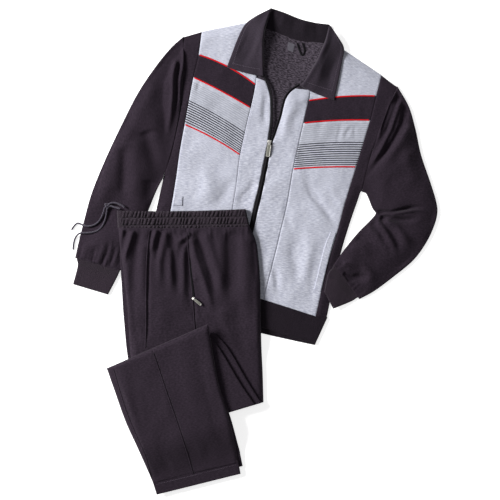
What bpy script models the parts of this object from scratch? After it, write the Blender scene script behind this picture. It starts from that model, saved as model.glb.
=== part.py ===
"""Tracksuit laid flat: a zipped jacket with its trousers folded over one corner of it.

The suit lies on its back on a level surface. +X runs to the right of the layout, +Y towards
the collar and +Z up. Tables are in millimetres; finish turns them into metres.
"""

import math
from collections import namedtuple

import bmesh
import bpy
from mathutils import Matrix, Vector

# Cloth and the gaps between cut pieces
WALL = 2.2
SEAM_GAP = 0.5
LAYER_GAP = 0.4
PILE_GAP = 1.6

# Heights of the jacket as it lies, front panels on the back panel
CLOSED_EDGE = WALL * 2 + LAYER_GAP
CROWN = 8.3
ROLL = 20.0
SLEEVE_EDGE_RADIUS = 3.3
CUFF_HEIGHT = 7.0

# Heights of the folded trousers
LEG_PAIR = 15.0
LEG_HOLLOW = 3.4
SHIN_HOLLOW = 2.6
FOLDED_LEG = 4.4
LOWER_PAIR = 12.0
WAIST_HEIGHT = 14.5
WAIST_WALL = 5.5
WAIST_EDGE_RADIUS = 6.4
EDGE_DROP = 4.5
SHIN_DROP = 2.5
JACKET_DRAPE = 80.0
THIGH_DRAPE = 90.0
SHIN_DRAPE = 104.0
DRAPE_START = 10.0

# Trims
PIPING_WIDTH = 3.0
PIPING_HEIGHT = 1.0
WING_GAP = 1.5
COLLAR_ROLL = 3.6
TAPE_WIDTH = 4.8
WELT_HEIGHT = 1.6
GATHERS = 38
GATHER_HEIGHT = 1.3
CORD_DIAMETER = 4.4

Section = namedtuple("Section", "left_x left_y right_x right_y bow")
Fold = namedtuple("Fold", "x0 y0 x1 y1 width rise")
Line = namedtuple("Line", "x y")

# Seams that cross each front, from the shoulder to the hem, between the side seam and the placket seam
RIGHT_FRONT = (
    Section(-128, 527, -12, 550, 0),
    Section(-135, 471, 1, 399, 7),
    Section(-148, 417, -11, 344, 2),
    Section(-169, 304, -36, 231, 4),
    Section(-190, 171, -45, 159, 0),
    Section(-213, 46, -63, 51, 0),
    Section(-236, -69, -94, -91, 0),
)
LEFT_FRONT = (
    Section(170, 512, 303, 422, 0),
    Section(128, 361, 289, 372, 4),
    Section(117, 307, 276, 314, 3),
    Section(91, 197, 242, 202, 2),
    Section(75, 111, 214, 111, 0),
    Section(51, 10, 184, 5, 0),
    Section(20, -116, 145, -156, 0),
)
YOKE, BAND, STRIPE, LOWER, FRONT_END = 0, 1, 2, 3, 6

# Seams that run down the jacket
RIGHT_SIDE_SEAM = (
    Line(-128, 527), Line(-136, 468), Line(-148, 417), Line(-161, 348), Line(-169, 304),
    Line(-180, 243), Line(-190, 173), Line(-202, 101), Line(-213, 46), Line(-221, -2), Line(-236, -69),
)
LEFT_SIDE_SEAM = (
    Line(303, 421), Line(290, 371), Line(276, 314), Line(268, 288), Line(245, 212),
    Line(224, 144), Line(214, 111), Line(200, 58), Line(184, 5), Line(176, -22),
    Line(145, -156),
)
RIGHT_PLACKET_SEAM = (
    Line(-12, 550), Line(-2, 483), Line(3, 425), Line(0, 395), Line(-5, 368), Line(-16, 322),
    Line(-30, 260), Line(-36, 231), Line(-45, 159), Line(-63, 51), Line(-94, -91),
)
LEFT_PLACKET_SEAM = (
    Line(170, 512), Line(151, 454), Line(135, 399), Line(129, 368), Line(120, 327), Line(103, 252),
    Line(91, 197), Line(76, 111), Line(61, 48), Line(52, 10), Line(20, -116),
)
RIGHT_ZIP_EDGE = (
    Line(14, 425), Line(27, 401), Line(35, 375), Line(37, 344), Line(37, 315), Line(33, 284),
    Line(29, 255), Line(19, 207), Line(9, 156), Line(-4, 104), Line(-17, 48),
    Line(-34, -21), Line(-52, -98),
)
LEFT_ZIP_EDGE = (
    Line(108, 397), Line(88, 384), Line(75, 368), Line(68, 346), Line(63, 324), Line(51, 288),
    Line(40, 255), Line(30, 207), Line(20, 156), Line(8, 104), Line(-5, 48),
    Line(-23, -26), Line(-41, -100),
)

# Placket strips from the neck to the hem, between the placket seam and the zip
RIGHT_PLACKET = (
    Section(6, 416, 21, 408, 0),
    Section(0, 395, 31, 388, 0),
    Section(-5, 368, 36, 360, 0),
    Section(-16, 322, 37, 315, 0),
    Section(-30, 260, 29, 255, 0),
    Section(-45, 159, 9, 156, 0),
    Section(-63, 51, -17, 48, 0),
    Section(-94, -91, -52, -98, 0),
)
LEFT_PLACKET = (
    Section(103, 390, 131, 386, 0),
    Section(83, 380, 130, 372, 0),
    Section(71, 358, 127, 356, 0),
    Section(63, 324, 120, 324, 0),
    Section(40, 255, 103, 252, 0),
    Section(20, 159, 84, 159, 0),
    Section(-5, 51, 62, 48, 0),
    Section(-41, -100, 20, -116, 0),
)

# Side panels, between the armhole or side edge and the side seam
RIGHT_SIDE = (
    Section(-171, 513, -129, 526, 0),
    Section(-166, 464, -136, 464, 0),
    Section(-179, 351, -161, 348, 0),
    Section(-204, 243, -180, 243, 0),
    Section(-220, 176, -189, 173, 0),
    Section(-237, 101, -202, 101, 0),
    Section(-257, 3, -221, -2, 0),
    Section(-269, -62, -236, -69, 0),
)
LEFT_SIDE = (
    Section(304, 420, 339, 393, 0),
    Section(291, 370, 322, 358, 0),
    Section(268, 288, 288, 274, 0),
    Section(245, 212, 269, 209, 0),
    Section(224, 144, 253, 144, 0),
    Section(202, 60, 223, 56, 0),
    Section(176, -21, 200, -26, 0),
    Section(145, -156, 171, -162, 0),
)

# The back, with its rise towards the shoulder seams and the neck seam in the bow column
JACKET_BACK = (
    Section(-171, 510, 340, 392, 1),
    Section(-180, 346, 290, 272, 0.25),
    Section(-220, 176, 253, 144, 0),
    Section(-237, 101, 228, 70, 0),
    Section(-257, 3, 200, -24, 0),
    Section(-269, -62, 171, -162, 0),
)
# How far the back's upper edge rises above the line between its shoulder points, at shares of its width
NECK_RISE = (
    Line(0, 0), Line(0.08, 26), Line(0.3, 64), Line(0.39, 62), Line(0.52, 51), Line(0.65, 57), Line(0.68, 63),
    Line(0.92, 20), Line(1, 0),
)

# Sleeves from the armhole to the cuff seam, between the outer and the inner edge
RIGHT_SLEEVE = (
    Section(-173, 514, -222, 174, 17),
    Section(-202, 488, -225, 168, 13),
    Section(-238, 444, -230, 159, 9),
    Section(-281, 380, -239, 140, 4),
    Section(-322, 300, -250, 113, 0),
    Section(-360, 219, -262, 82, 0),
    Section(-392, 140, -273, 51, 0),
    Section(-411, 72, -286, 17, 0),
    Section(-424, 20, -304, -19, 0),
    Section(-432, -16, -325, -48, 0),
)
LEFT_SLEEVE = (
    Section(256, 143, 342, 394, 8),
    Section(260, 141, 369, 346, 6),
    Section(266, 138, 385, 291, 3),
    Section(273, 123, 398, 231, 0),
    Section(280, 105, 420, 166, 0),
    Section(286, 96, 434, 120, 0),
    Section(289, 91, 437, 92, 0),
    Section(285, 84, 429, 60, 0),
    Section(272, 70, 410, 20, 0),
    Section(248, 46, 379, -22, 0),
    Section(222, 15, 331, -62, 0),
    Section(201, -13, 285, -96, 0),
    Section(188, -33, 250, -115, 0),
)
RIGHT_CUFF = (
    Section(-428, -20, -326, -51, 0),
    Section(-426, -36, -333, -66, 0),
    Section(-437, -79, -353, -104, 0),
)
LEFT_CUFF = (
    Section(185, -39, 244, -112, 0),
    Section(174, -55, 229, -121, 0),
    Section(165, -97, 187, -138, 0),
)

RIGHT_HEM = (
    Section(-270, -66, -54, -100, 0),
    Section(-266, -115, -64, -157, 0),
)
LEFT_HEM = (
    Section(-46, -101, 171, -164, -3),
    Section(-57, -159, 143, -225, 0),
)
BACK_HEM = (
    Section(-270, -66, 171, -164, -12),
    Section(-266, -115, 143, -225, -7),
)

# Where the left forearm comes back over the jacket's side edge
LEFT_SIDE_FREE_EDGE = (Line(253, 144), Line(223, 56), Line(200, -26), Line(143, -225))
LEFT_FOREARM_START = 55

# Outer edges where the jacket's front rolls over to meet its back
JACKET_EDGES = (
    (Line(-220, 176), Line(-237, 101), Line(-257, 3), Line(-269, -62)),
    (Line(253, 144), Line(223, 56), Line(200, -26), Line(171, -162)),
    (Line(-171, 513), Line(-128, 527), Line(-12, 550)),
    (Line(170, 512), Line(303, 422), Line(340, 392)),
)

# Soft troughs (negative) and ridges (positive) of the jacket
JACKET_FOLDS = (
    Fold(-164, 473, -214, 207, 11, -3.4),
    Fold(-185, 444, -204, 305, 8, 2.6),
    Fold(-202, 416, -221, 267, 9, -2.4),
    Fold(-262, 344, -245, 142, 17, -2.6),
    Fold(-293, 267, -284, 111, 14, 2.4),
    Fold(-315, 224, -312, 111, 13, -2.2),
    Fold(-348, 207, -377, 63, 16, 2.6),
    Fold(-375, -26, -346, 27, 7, 2.2),
    Fold(-346, -40, -329, 10, 7, 2.2),
    Fold(-406, -12, -392, 27, 8, -1.8),
    Fold(340, 377, 283, 238, 8, 3.6),
    Fold(350, 353, 271, 200, 9, -3.4),
    Fold(357, 320, 268, 190, 8, 3.4),
    Fold(362, 262, 268, 161, 10, -3.2),
    Fold(381, 243, 278, 135, 10, 2.8),
    Fold(292, 93, 405, 99, 9, -3.6),
    Fold(300, 82, 396, 77, 9, 4.2),
    Fold(309, 72, 381, 27, 11, -3.0),
    Fold(300, 51, 348, -16, 12, 2.6),
    Fold(266, 17, 300, -50, 12, -2.4),
    Fold(235, -2, 264, -69, 10, -3.0),
    Fold(218, -26, 247, -88, 8, 2.4),
    Fold(-41, 176, -99, 108, 16, -2.0),
    Fold(-104, 200, -132, 108, 18, 2.0),
    Fold(2, 176, -36, 108, 11, -2.4),
    Fold(21, 392, 24, 296, 8, -2.0),
    Fold(98, 368, 64, 272, 12, 3.0),
    Fold(112, 180, 194, 56, 10, -2.6),
    Fold(93, 27, 98, -79, 15, -2.2),
    Fold(132, 70, 122, -69, 17, 2.2),
    Fold(43, -31, 57, -103, 8, -2.2),
)

# Convex outlines on the floor: what the trousers press on, and the two folded lengths under the shin
TROUSER_REACH = (
    Line(-339, 106), Line(-17, 111), Line(9, 36), Line(26, -117), Line(26, -453), Line(-339, -453),
)
THIGH_REACH = (
    Line(-310, -117), Line(-304, -249), Line(-255, -448), Line(21, -364), Line(14, -117),
)
RETURN_REACH = (
    Line(-365, -276), Line(-108, -165), Line(33, -362), Line(-255, -458),
)
# The jacket's lower edge under the trousers
JACKET_END = (Line(-329, -111), Line(16, -182))

COLLAR_BACK = (
    Section(26, 534, 41, 582, 0),
    Section(55, 523, 67, 573, 0),
    Section(96, 507, 110, 556, 0),
    Section(132, 500, 144, 548, 0),
    Section(164, 497, 175, 544, 0),
)
RIGHT_WING = (
    Section(-68, 441, 8, 425, -3),
    Section(-57, 471, 16, 459, 0),
    Section(-41, 512, 21, 502, 0),
    Section(-24, 544, 25, 533, 0),
    Section(0, 562, 32, 558, 0),
    Section(21, 573, 39, 582, 0),
)
LEFT_WING = (
    Section(110, 395, 190, 362, -3),
    Section(127, 424, 200, 411, 0),
    Section(146, 456, 208, 454, 0),
    Section(158, 483, 213, 486, 0),
    Section(168, 507, 198, 514, 0),
    Section(177, 542, 182, 538, 0),
)

# The welts of the side pockets, the label and the loop at the neck
RIGHT_WELT = (
    Section(-194, 134, -173, 131, 0),
    Section(-197, 118, -174, 118, 0),
    Section(-199, 109, -174, 109, 0),
)
LEFT_WELT = (
    Section(180, 46, 194, 44, 0),
    Section(165, 8, 182, 3, 0),
    Section(140, -93, 157, -98, 0),
)
NECK_LABEL = (
    Section(80, 502, 96, 496, 0),
    Section(75, 483, 91, 477, 0),
)
HANGING_LOOP = (
    Line(102, 492), Line(109, 471), Line(115, 462), Line(120, 473), Line(115, 492),
)

# The waistband, then the upper leg from the waistband down to the first fold
WAISTBAND = (
    Section(-331, 97, -23, 101, -3),
    Section(-329, 55, -13, 58, -3),
)
THIGH_FRONT = (
    Section(-328, 54, -165, 53, -1),
    Section(-325, 17, -162, 17, 0),
    Section(-319, -26, -159, -26, 0),
    Section(-313, -74, -154, -74, 0),
    Section(-306, -136, -148, -132, 0),
    Section(-299, -249, -137, -237, 0),
    Section(-281, -326, -125, -302, 0),
    Section(-251, -444, -99, -398, 0),
)
THIGH_BACK = (
    Section(-165, 53, -12, 56, 0),
    Section(-162, 17, 2, 24, 0),
    Section(-159, -26, 8, -21, 0),
    Section(-154, -74, 12, -72, 0),
    Section(-148, -132, 13, -132, 0),
    Section(-137, -237, 15, -225, 0),
    Section(-125, -302, 18, -290, 0),
    Section(-99, -398, 20, -362, 0),
)
UNDER_THIGH = (
    Section(-330, 52, -14, 55, 0),
    Section(-326, 12, 1, 20, 0),
    Section(-320, -79, 11, -72, 0),
    Section(-315, -160, 12, -141, 0),
    Section(-306, -252, 14, -228, 0),
    Section(-286, -338, 16, -297, 0),
    Section(-252, -441, 18, -357, 0),
)
THIGH_OUTLINE = (
    Line(-335, 123), Line(-328, 53), Line(-299, -249), Line(-251, -444), Line(20, -362),
    Line(13, -81), Line(2, 24), Line(-22, 123),
)

# The length turned back on itself, from the first fold up to the second
RETURN_LOWER = (
    Section(-248, -440, 14, -363, 0),
    Section(-276, -398, -18, -312, 0),
    Section(-310, -338, -65, -232, 0),
    Section(-336, -292, -100, -193, 0),
)
RETURN_UPPER = (
    Section(-245, -439, -1, -367, 0),
    Section(-274, -398, -38, -312, 0),
    Section(-308, -338, -86, -232, 0),
    Section(-334, -292, -116, -202, 0),
)

# The lower leg from the second fold down to its hem
SHIN_FRONT = (
    Section(-353, -285, -243, -241, 0),
    Section(-335, -336, -211, -336, 0),
    Section(-309, -408, -186, -408, 0),
    Section(-275, -482, -164, -477, 0),
    Section(-245, -555, -149, -531, 0),
)
SHIN_BACK = (
    Section(-243, -241, -110, -186, 0),
    Section(-211, -336, -87, -316, 0),
    Section(-186, -408, -63, -396, 0),
    Section(-164, -477, -48, -463, 0),
    Section(-149, -531, -40, -506, 0),
)
UNDER_SHIN = (
    Section(-341, -292, -118, -202, 0),
    Section(-327, -336, -86, -319, 0),
    Section(-300, -408, -59, -396, 0),
    Section(-267, -480, -42, -460, 0),
    Section(-246, -532, -36, -483, 0),
)
LEFT_LEG_HEM = (
    Section(-244, -557, -40, -507, 0),
    Section(-236, -583, -35, -533, 0),
)
RIGHT_LEG_HEM = (
    Section(-246, -534, -36, -485, 0),
    Section(-236, -561, -30, -515, 0),
)
SHIN_OUTLINE = (
    Line(-357, -277), Line(-113, -177), Line(-63, -396), Line(-17, -602), Line(-228, -602), Line(-257, -520),
)
SHIN_FOLDS = (
    Fold(-310, -266, -255, -453, 14, -1.6),
    Fold(-180, -223, -132, -405, 22, 1.8),
    Fold(-142, -223, -80, -453, 16, -1.8),
    Fold(-228, -405, -200, -549, 18, -1.4),
)

TROUSER_FOLDS = (
    Fold(-291, 53, -310, -26, 9, 2.6),
    Fold(-305, 51, -321, 3, 7, -2.0),
    Fold(-274, 53, -279, -26, 8, -2.4),
    Fold(-233, 53, -250, -7, 8, 2.6),
    Fold(-219, 53, -228, -26, 8, -2.4),
    Fold(-202, 53, -224, -12, 8, 2.6),
    Fold(-195, 46, -197, -79, 10, -2.6),
    Fold(-178, 51, -195, 3, 7, 2.4),
    Fold(-154, 46, -125, -69, 10, -4.6),
    Fold(-132, -40, -106, -184, 10, -4.4),
    Fold(-140, 51, -99, -108, 13, 3.4),
    Fold(-118, 53, -89, -26, 9, -2.2),
    Fold(-87, 46, -80, -165, 19, 2.8),
    Fold(-51, 56, -63, -117, 20, -3.2),
    Fold(-27, 51, -20, -189, 20, 2.6),
    Fold(-281, -26, -281, -189, 16, -2.0),
    Fold(-228, -26, -214, -189, 24, 2.2),
    Fold(-173, -26, -161, -189, 12, -2.2),
)

# Tie cord routes, from the mouth of the waistband to the knot and from the knot to the free ends
CordPoint = namedtuple("CordPoint", "x y z")
TIE_UPPER = (
    CordPoint(-312, 104, 18.6),
    CordPoint(-318, 109, 18.0),
    CordPoint(-329, 114, 16.2),
    CordPoint(-339, 116, 14.8),
    CordPoint(-348, 114, 14.2),
)
TIE_LOWER = (
    CordPoint(-322, 101, 18.6),
    CordPoint(-328, 103, 17.6),
    CordPoint(-335, 105, 15.8),
    CordPoint(-342, 107, 14.4),
    CordPoint(-348, 108, 13.6),
)
END_UPPER = (
    CordPoint(-360, 104, 13.4),
    CordPoint(-363, 94, 12.4),
    CordPoint(-368, 82, 11.8),
    CordPoint(-375, 71, 11.6),
    CordPoint(-386, 63, 11.6),
    CordPoint(-399, 60, 11.4),
    CordPoint(-411, 62, 10.2),
    CordPoint(-420, 66, 6.6),
    CordPoint(-427, 67, 3.6),
    CordPoint(-434, 61, 2.4),
    CordPoint(-441, 51, 2.3),
)
END_LOWER = (
    CordPoint(-354, 102, 13.4),
    CordPoint(-356, 92, 12.4),
    CordPoint(-359, 77, 11.8),
    CordPoint(-366, 61, 11.6),
    CordPoint(-377, 50, 11.6),
    CordPoint(-392, 45, 11.6),
    CordPoint(-406, 44, 11.2),
    CordPoint(-416, 44, 9.6),
    CordPoint(-424, 41, 5.6),
    CordPoint(-431, 33, 2.8),
    CordPoint(-435, 21, 2.3),
    CordPoint(-437, 3, 2.3),
)
KNOT = CordPoint(-355, 110, 14.2)

# Metal parts: where each zip's slider sits and which way its pull hangs
Zip = namedtuple("Zip", "x y z heading length width puller_length puller_width")
MAIN_ZIP = Zip(34, 260, 0.0, -98.0, 12.0, 9.0, 34.0, 9.5)
POCKET_ZIP = Zip(-147, -114, 0.0, -39.0, 9.0, 6.5, 22.0, 6.0)
PIVOT_RISE = 4.6
BAR_HALF = 0.7
PULLER_TILT = 5.5
KNOT_RADIUS = 3.2
HEM_TOP = 6.5
HEM_PAIR = 5.2
MM = 0.001


def smooth(share):
    """Eases a share from 0 to 1, level at both ends."""
    share = min(max(share, 0.0), 1.0)
    return share * share * (3 - 2 * share)


def interpolated(rows, place):
    """The row of a table at a fractional place, on a smooth curve through its rows."""
    index = min(int(place), len(rows) - 2)
    share = place - index
    here, following = rows[index], rows[index + 1]
    before = rows[index - 1] if index else [2 * a - b for a, b in zip(here, following)]
    after = rows[index + 2] if index + 2 < len(rows) else [2 * b - a for a, b in zip(here, following)]
    values = []
    for p, a, b, n in zip(before, here, following, after):
        start, end = (b - p) / 2, (n - a) / 2
        bend = (2 * a - 2 * b + start + end) * share**3
        values.append(bend + (3 * b - 3 * a - 2 * start - end) * share**2 + start * share + a)
    return type(here)(*values)


def chord(section):
    return math.hypot(section.right_x - section.left_x, section.right_y - section.left_y)


def across(section, share):
    """The plan point at a share of the way from the section's left end to its right end."""
    dx, dy = section.right_x - section.left_x, section.right_y - section.left_y
    bow = section.bow * 4 * share * (1 - share) / chord(section)
    return section.left_x + share * dx - bow * dy, section.left_y + share * dy + bow * dx


def across_back(section, share):
    """The same for the back, whose upper edge follows the shoulders and the neck."""
    index = 0
    while share > NECK_RISE[index + 1].x and index < len(NECK_RISE) - 2:
        index += 1
    a, b = NECK_RISE[index], NECK_RISE[index + 1]
    rise = section.bow * (a.y + (b.y - a.y) * (share - a.x) / (b.x - a.x))
    dx, dy = section.right_x - section.left_x, section.right_y - section.left_y
    length = math.hypot(dx, dy)
    return section.left_x + share * dx - rise * dy / length, section.left_y + share * dy + rise * dx / length


def distance_to(path, x, y):
    nearest = math.inf
    for a, b in zip(path, path[1:]):
        dx, dy = b.x - a.x, b.y - a.y
        share = min(max(((x - a.x) * dx + (y - a.y) * dy) / (dx * dx + dy * dy), 0.0), 1.0)
        nearest = min(nearest, math.hypot(x - a.x - share * dx, y - a.y - share * dy))
    return nearest


def outside(outline, x, y):
    """How far a point lies outside a convex outline, negative inside it."""
    middle_x = sum(p.x for p in outline) / len(outline)
    middle_y = sum(p.y for p in outline) / len(outline)
    reach = -math.inf
    for a, b in zip(outline, outline[1:] + outline[:1]):
        dx, dy = b.x - a.x, b.y - a.y
        side = ((x - a.x) * dy - (y - a.y) * dx) / math.hypot(dx, dy)
        middle_side = (middle_x - a.x) * dy - (middle_y - a.y) * dx
        reach = max(reach, side if middle_side < 0 else -side)
    return reach


def folds_at(table, x, y):
    """The summed rise of the soft troughs and ridges at a plan point."""
    rise = 0.0
    for fold in table:
        dx, dy = fold.x1 - fold.x0, fold.y1 - fold.y0
        length = math.hypot(dx, dy)
        along = ((x - fold.x0) * dx + (y - fold.y0) * dy) / length**2
        if 0 < along < 1:
            off = ((x - fold.x0) * dy - (y - fold.y0) * dx) / length
            rise += fold.rise * math.exp(-((off / fold.width) ** 2)) * smooth(min(along, 1 - along) / 0.3)
    return rise


def pressed(x, y):
    """The height that the trousers leave to the jacket under and beside them."""
    return CROWN + 0.45 * max(outside(TROUSER_REACH, x, y), 0.0)


def jacket_top(x, y):
    """The outer face of the jacket's front."""
    edge = min(distance_to(path, x, y) for path in JACKET_EDGES)
    rise = smooth(edge / ROLL)
    height = CLOSED_EDGE + (CROWN - CLOSED_EDGE) * rise + folds_at(JACKET_FOLDS, x, y) * rise
    return max(CLOSED_EDGE, min(height, pressed(x, y)))


def trouser_seat(x, y):
    """The underside of the folded trousers: on the jacket, then down to the floor past its lower edge."""
    a, b = JACKET_END
    below = ((x - a.x) * (b.y - a.y) - (y - a.y) * (b.x - a.x)) / math.hypot(b.x - a.x, b.y - a.y)
    return (CROWN + LAYER_GAP) * (1 - smooth((below - DRAPE_START) / JACKET_DRAPE))


def thigh_form(x, y):
    """The upper leg without its folds, rolled down at its edges."""
    inside = -outside(THIGH_OUTLINE, x, y)
    return trouser_seat(x, y) + LEG_PAIR - EDGE_DROP * (1 - smooth(inside / 14))


def thigh_top(x, y):
    """The outer face of the upper leg, plain under the turned-back length."""
    inside = -outside(THIGH_OUTLINE, x, y)
    folds = folds_at(TROUSER_FOLDS, x, y) * smooth((outside(RETURN_REACH, x, y) - 14) / 20) * smooth(
        inside / 12)
    return thigh_form(x, y) + max(folds, 0.6 - LEG_HOLLOW)


def return_floor(x, y):
    """The underside of the turned-back length: on the upper leg, and down to the floor past its edge."""
    return (trouser_seat(x, y) + LEG_PAIR + PILE_GAP) * (
        1 - smooth((outside(THIGH_REACH, x, y) - DRAPE_START) / THIGH_DRAPE))


def shin_floor(x, y):
    """The underside of the lower leg: on the turned-back length, then down to the floor."""
    on_return = 1 - smooth((outside(RETURN_REACH, x, y) - DRAPE_START) / SHIN_DRAPE)
    return return_floor(x, y) + (2 * FOLDED_LEG + 2 * PILE_GAP) * on_return


def shin_form(x, y):
    """The lower leg without its folds, rolled down at its edges and over the fold."""
    inside = -outside(SHIN_OUTLINE, x, y)
    return shin_floor(x, y) + LOWER_PAIR - SHIN_DROP * (1 - smooth(inside / 11))


def shin_top(x, y):
    """The outer face of the lower leg."""
    inside = -outside(SHIN_OUTLINE, x, y)
    return shin_form(x, y) + max(folds_at(SHIN_FOLDS, x, y) * smooth(inside / 12), 0.8 - SHIN_HOLLOW)


def material(name, colour, roughness, metallic=0.0):
    made = bpy.data.materials.new(name)
    made.use_nodes = True
    shader = made.node_tree.nodes["Principled BSDF"]
    shader.inputs["Base Color"].default_value = (*colour, 1.0)
    shader.inputs["Roughness"].default_value = roughness
    shader.inputs["Metallic"].default_value = metallic
    return made


def finish(name, bm, paint):
    """Closes the work on a mesh in millimetres and puts it in the scene in metres."""
    bmesh.ops.recalc_face_normals(bm, faces=bm.faces[:])
    bmesh.ops.scale(bm, vec=(MM, MM, MM), verts=bm.verts[:])
    mesh = bpy.data.meshes.new(name)
    bm.to_mesh(mesh)
    bm.free()
    mesh.shade_smooth()
    mesh.set_sharp_from_angle(angle=math.radians(50))
    mesh.materials.append(paint)
    piece = bpy.data.objects.new(name, mesh)
    bpy.context.scene.collection.objects.link(piece)
    return piece


def places(first, last, steps, sections, gaps=(SEAM_GAP, SEAM_GAP)):
    """Fractional places along a table, drawn in at both ends by half a seam gap."""
    marks = [first + (last - first) * k / steps for k in range(steps + 1)]
    for end, near, gap in ((0, 1, gaps[0]), (-1, -2, gaps[1])):
        a, b = (across(interpolated(sections, marks[k]), 0.5) for k in (end, near))
        marks[end] += (marks[near] - marks[end]) * gap / 2 / math.dist(a, b)
    return marks


def shares(section, columns, gap=SEAM_GAP):
    inset = gap / 2 / chord(section)
    return [inset + (1 - 2 * inset) * k / columns for k in range(columns + 1)]


def skin_of(bm, rows):
    """Adds the quads between rows of points."""
    grid = [[bm.verts.new(point) for point in row] for row in rows]
    for upper, lower in zip(grid, grid[1:]):
        for k in range(len(upper) - 1):
            bm.faces.new((upper[k], upper[k + 1], lower[k + 1], lower[k]))
    return grid


def seam(points):
    """A seam that runs down the layout, as a function that gives its x at a y."""
    spans = list(zip(points, points[1:]))
    slopes = [(b.x - a.x) / (b.y - a.y) for a, b in spans]
    turns = [slopes[0]] + [(a + b) / 2 for a, b in zip(slopes, slopes[1:])] + [slopes[-1]]

    def x_at(y):
        index = 0
        while index < len(spans) - 1 and y < points[index + 1].y:
            index += 1
        a, b = spans[index]
        length = b.y - a.y
        share = (y - a.y) / length
        start, end = turns[index] * length, turns[index + 1] * length
        bend = (2 * a.x - 2 * b.x + start + end) * share**3
        return bend + (3 * b.x - 3 * a.x - 2 * start - end) * share**2 + start * share + a.x

    return x_at


def edge_of(section):
    """The same kind of function for a section that runs down the layout, such as an armhole."""
    def x_at(y):
        low, high = 0.0, 1.0
        falling = section.left_y > section.right_y
        for _ in range(24):
            middle = (low + high) / 2
            if (across(section, middle)[1] > y) == falling:
                low = middle
            else:
                high = middle
        return across(section, low)[0]

    return x_at


def panel(name, paint, sections, columns, steps, top, first=0, last=None, under=None, left=None, right=None,
          gaps=(SEAM_GAP, SEAM_GAP), along=across):
    """A cut piece of cloth: its outer face follows top, its inner face lies a wall below or on under."""
    last = len(sections) - 1 if last is None else last
    rows = []
    for place in places(first, last, steps, sections, gaps):
        section = interpolated(sections, place)
        if left:
            section = section._replace(left_x=left(section.left_y))
        if right:
            section = section._replace(right_x=right(section.right_y))
        points = [along(section, share) for share in shares(section, columns)]
        rows.append([(x, y, top(x, y)) for x, y in points])
    bm = bmesh.new()
    skin_of(bm, rows)
    copy = bmesh.ops.extrude_face_region(bm, geom=bm.faces[:], use_keep_orig=True)
    for vert in copy["geom"]:
        if isinstance(vert, bmesh.types.BMVert):
            vert.co.z = vert.co.z - WALL if under is None else under(vert.co.x, vert.co.y)
    return finish(name, bm, paint)


def bridged(bm, loops):
    """Joins closed loops of vertices one after the other."""
    for one, other in zip(loops, loops[1:]):
        count = len(one)
        for k in range(count):
            bm.faces.new((one[k], one[(k + 1) % count], other[(k + 1) % count], other[k]))


def tube(name, paint, sections, steps, columns, base, top, radius=SLEEVE_EDGE_RADIUS, wall=WALL, arc=3):
    """A flattened tube of cloth, open at both ends, with its edges rolled to a radius."""
    outer_loops, inner_loops = [], []
    bm = bmesh.new()
    for place in places(0, len(sections) - 1, steps, sections):
        section = interpolated(sections, place)
        width = chord(section)
        outer, inner = [], []

        def add(offset, low_high, inset_offset, inset_z):
            x, y = across(section, offset / width)
            outer.append(bm.verts.new((x, y, low_high)))
            x, y = across(section, inset_offset / width)
            inner.append(bm.verts.new((x, y, inset_z)))

        def heights(offset):
            x, y = across(section, offset / width)
            low = base(x, y)
            return low, top(x, y, min(offset, width - offset) - radius)

        bottom_columns = max(columns // 3, 2)
        for k in range(bottom_columns + 1):
            offset = radius + (width - 2 * radius) * k / bottom_columns
            low, _ = heights(offset)
            add(offset, low, offset, low + wall)
        for side in (1, -1):
            edge = width - radius if side == 1 else radius
            low, high = heights(edge)
            middle, half = (low + high) / 2, (high - low) / 2
            for k in range(1, arc + 1):
                turn = math.pi * (k / (arc + 1) - 0.5) * side
                cosine, sine = math.cos(turn), math.sin(turn)
                add(
                    edge + side * radius * cosine,
                    middle + half * sine,
                    edge + side * (radius - wall) * cosine,
                    middle + (half - wall) * sine,
                )
            if side == 1:
                for k in range(columns + 1):
                    offset = width - radius - (width - 2 * radius) * k / columns
                    _, high = heights(offset)
                    add(offset, high, offset, high - wall)
        outer_loops.append(outer)
        inner_loops.append(inner)
    bridged(bm, outer_loops)
    bridged(bm, inner_loops)
    bridged(bm, [outer_loops[0], inner_loops[0]])
    bridged(bm, [outer_loops[-1], inner_loops[-1]])
    return finish(name, bm, paint)


def stack(name, paint, sections, steps, bottom, top, lips, columns=4):
    """Layers that lie on each other as one rounded solid, with a lip at the edge for each layer."""
    lip_inset, nose = 3.0, 3.0
    length = sum(math.dist(across(a, 0.5), across(b, 0.5)) for a, b in zip(sections, sections[1:]))
    ends = nose / length * (len(sections) - 1)
    last = len(sections) - 1
    marks = [0.0, ends] + [last * k / steps for k in range(1, steps)] + [last - ends, last]
    bm = bmesh.new()
    loops = []
    for index, place in enumerate(marks):
        section = interpolated(sections, place)
        width = chord(section)
        squeeze = 0.55 if index in (0, len(marks) - 1) else 1.0

        def point(offset, level):
            x, y = across(section, offset / width)
            low, high = bottom(x, y), top(x, y)
            middle, half = (low + high) / 2, (high - low) / 2 * squeeze
            return bm.verts.new((x, y, middle + half * (2 * level - 1)))

        flat_width = width - 4 * lip_inset
        loop = [point(2 * lip_inset + flat_width * k / columns, 0) for k in range(columns + 1)]
        for lip in range(lips):
            for rise, inset in ((0.12, 1.0), (0.5, 0.0), (0.88, 1.0)):
                loop.append(point(width - inset * lip_inset, (lip + rise) / lips))
        loop += [point(width - 2 * lip_inset - flat_width * k / columns, 1) for k in range(columns + 1)]
        for lip in reversed(range(lips)):
            for rise, inset in ((0.88, 1.0), (0.5, 0.0), (0.12, 1.0)):
                loop.append(point(inset * lip_inset, (lip + rise) / lips))
        loops.append(loop)
    bridged(bm, loops)
    bm.faces.new(loops[0])
    bm.faces.new(loops[-1])
    return finish(name, bm, paint)


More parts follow.
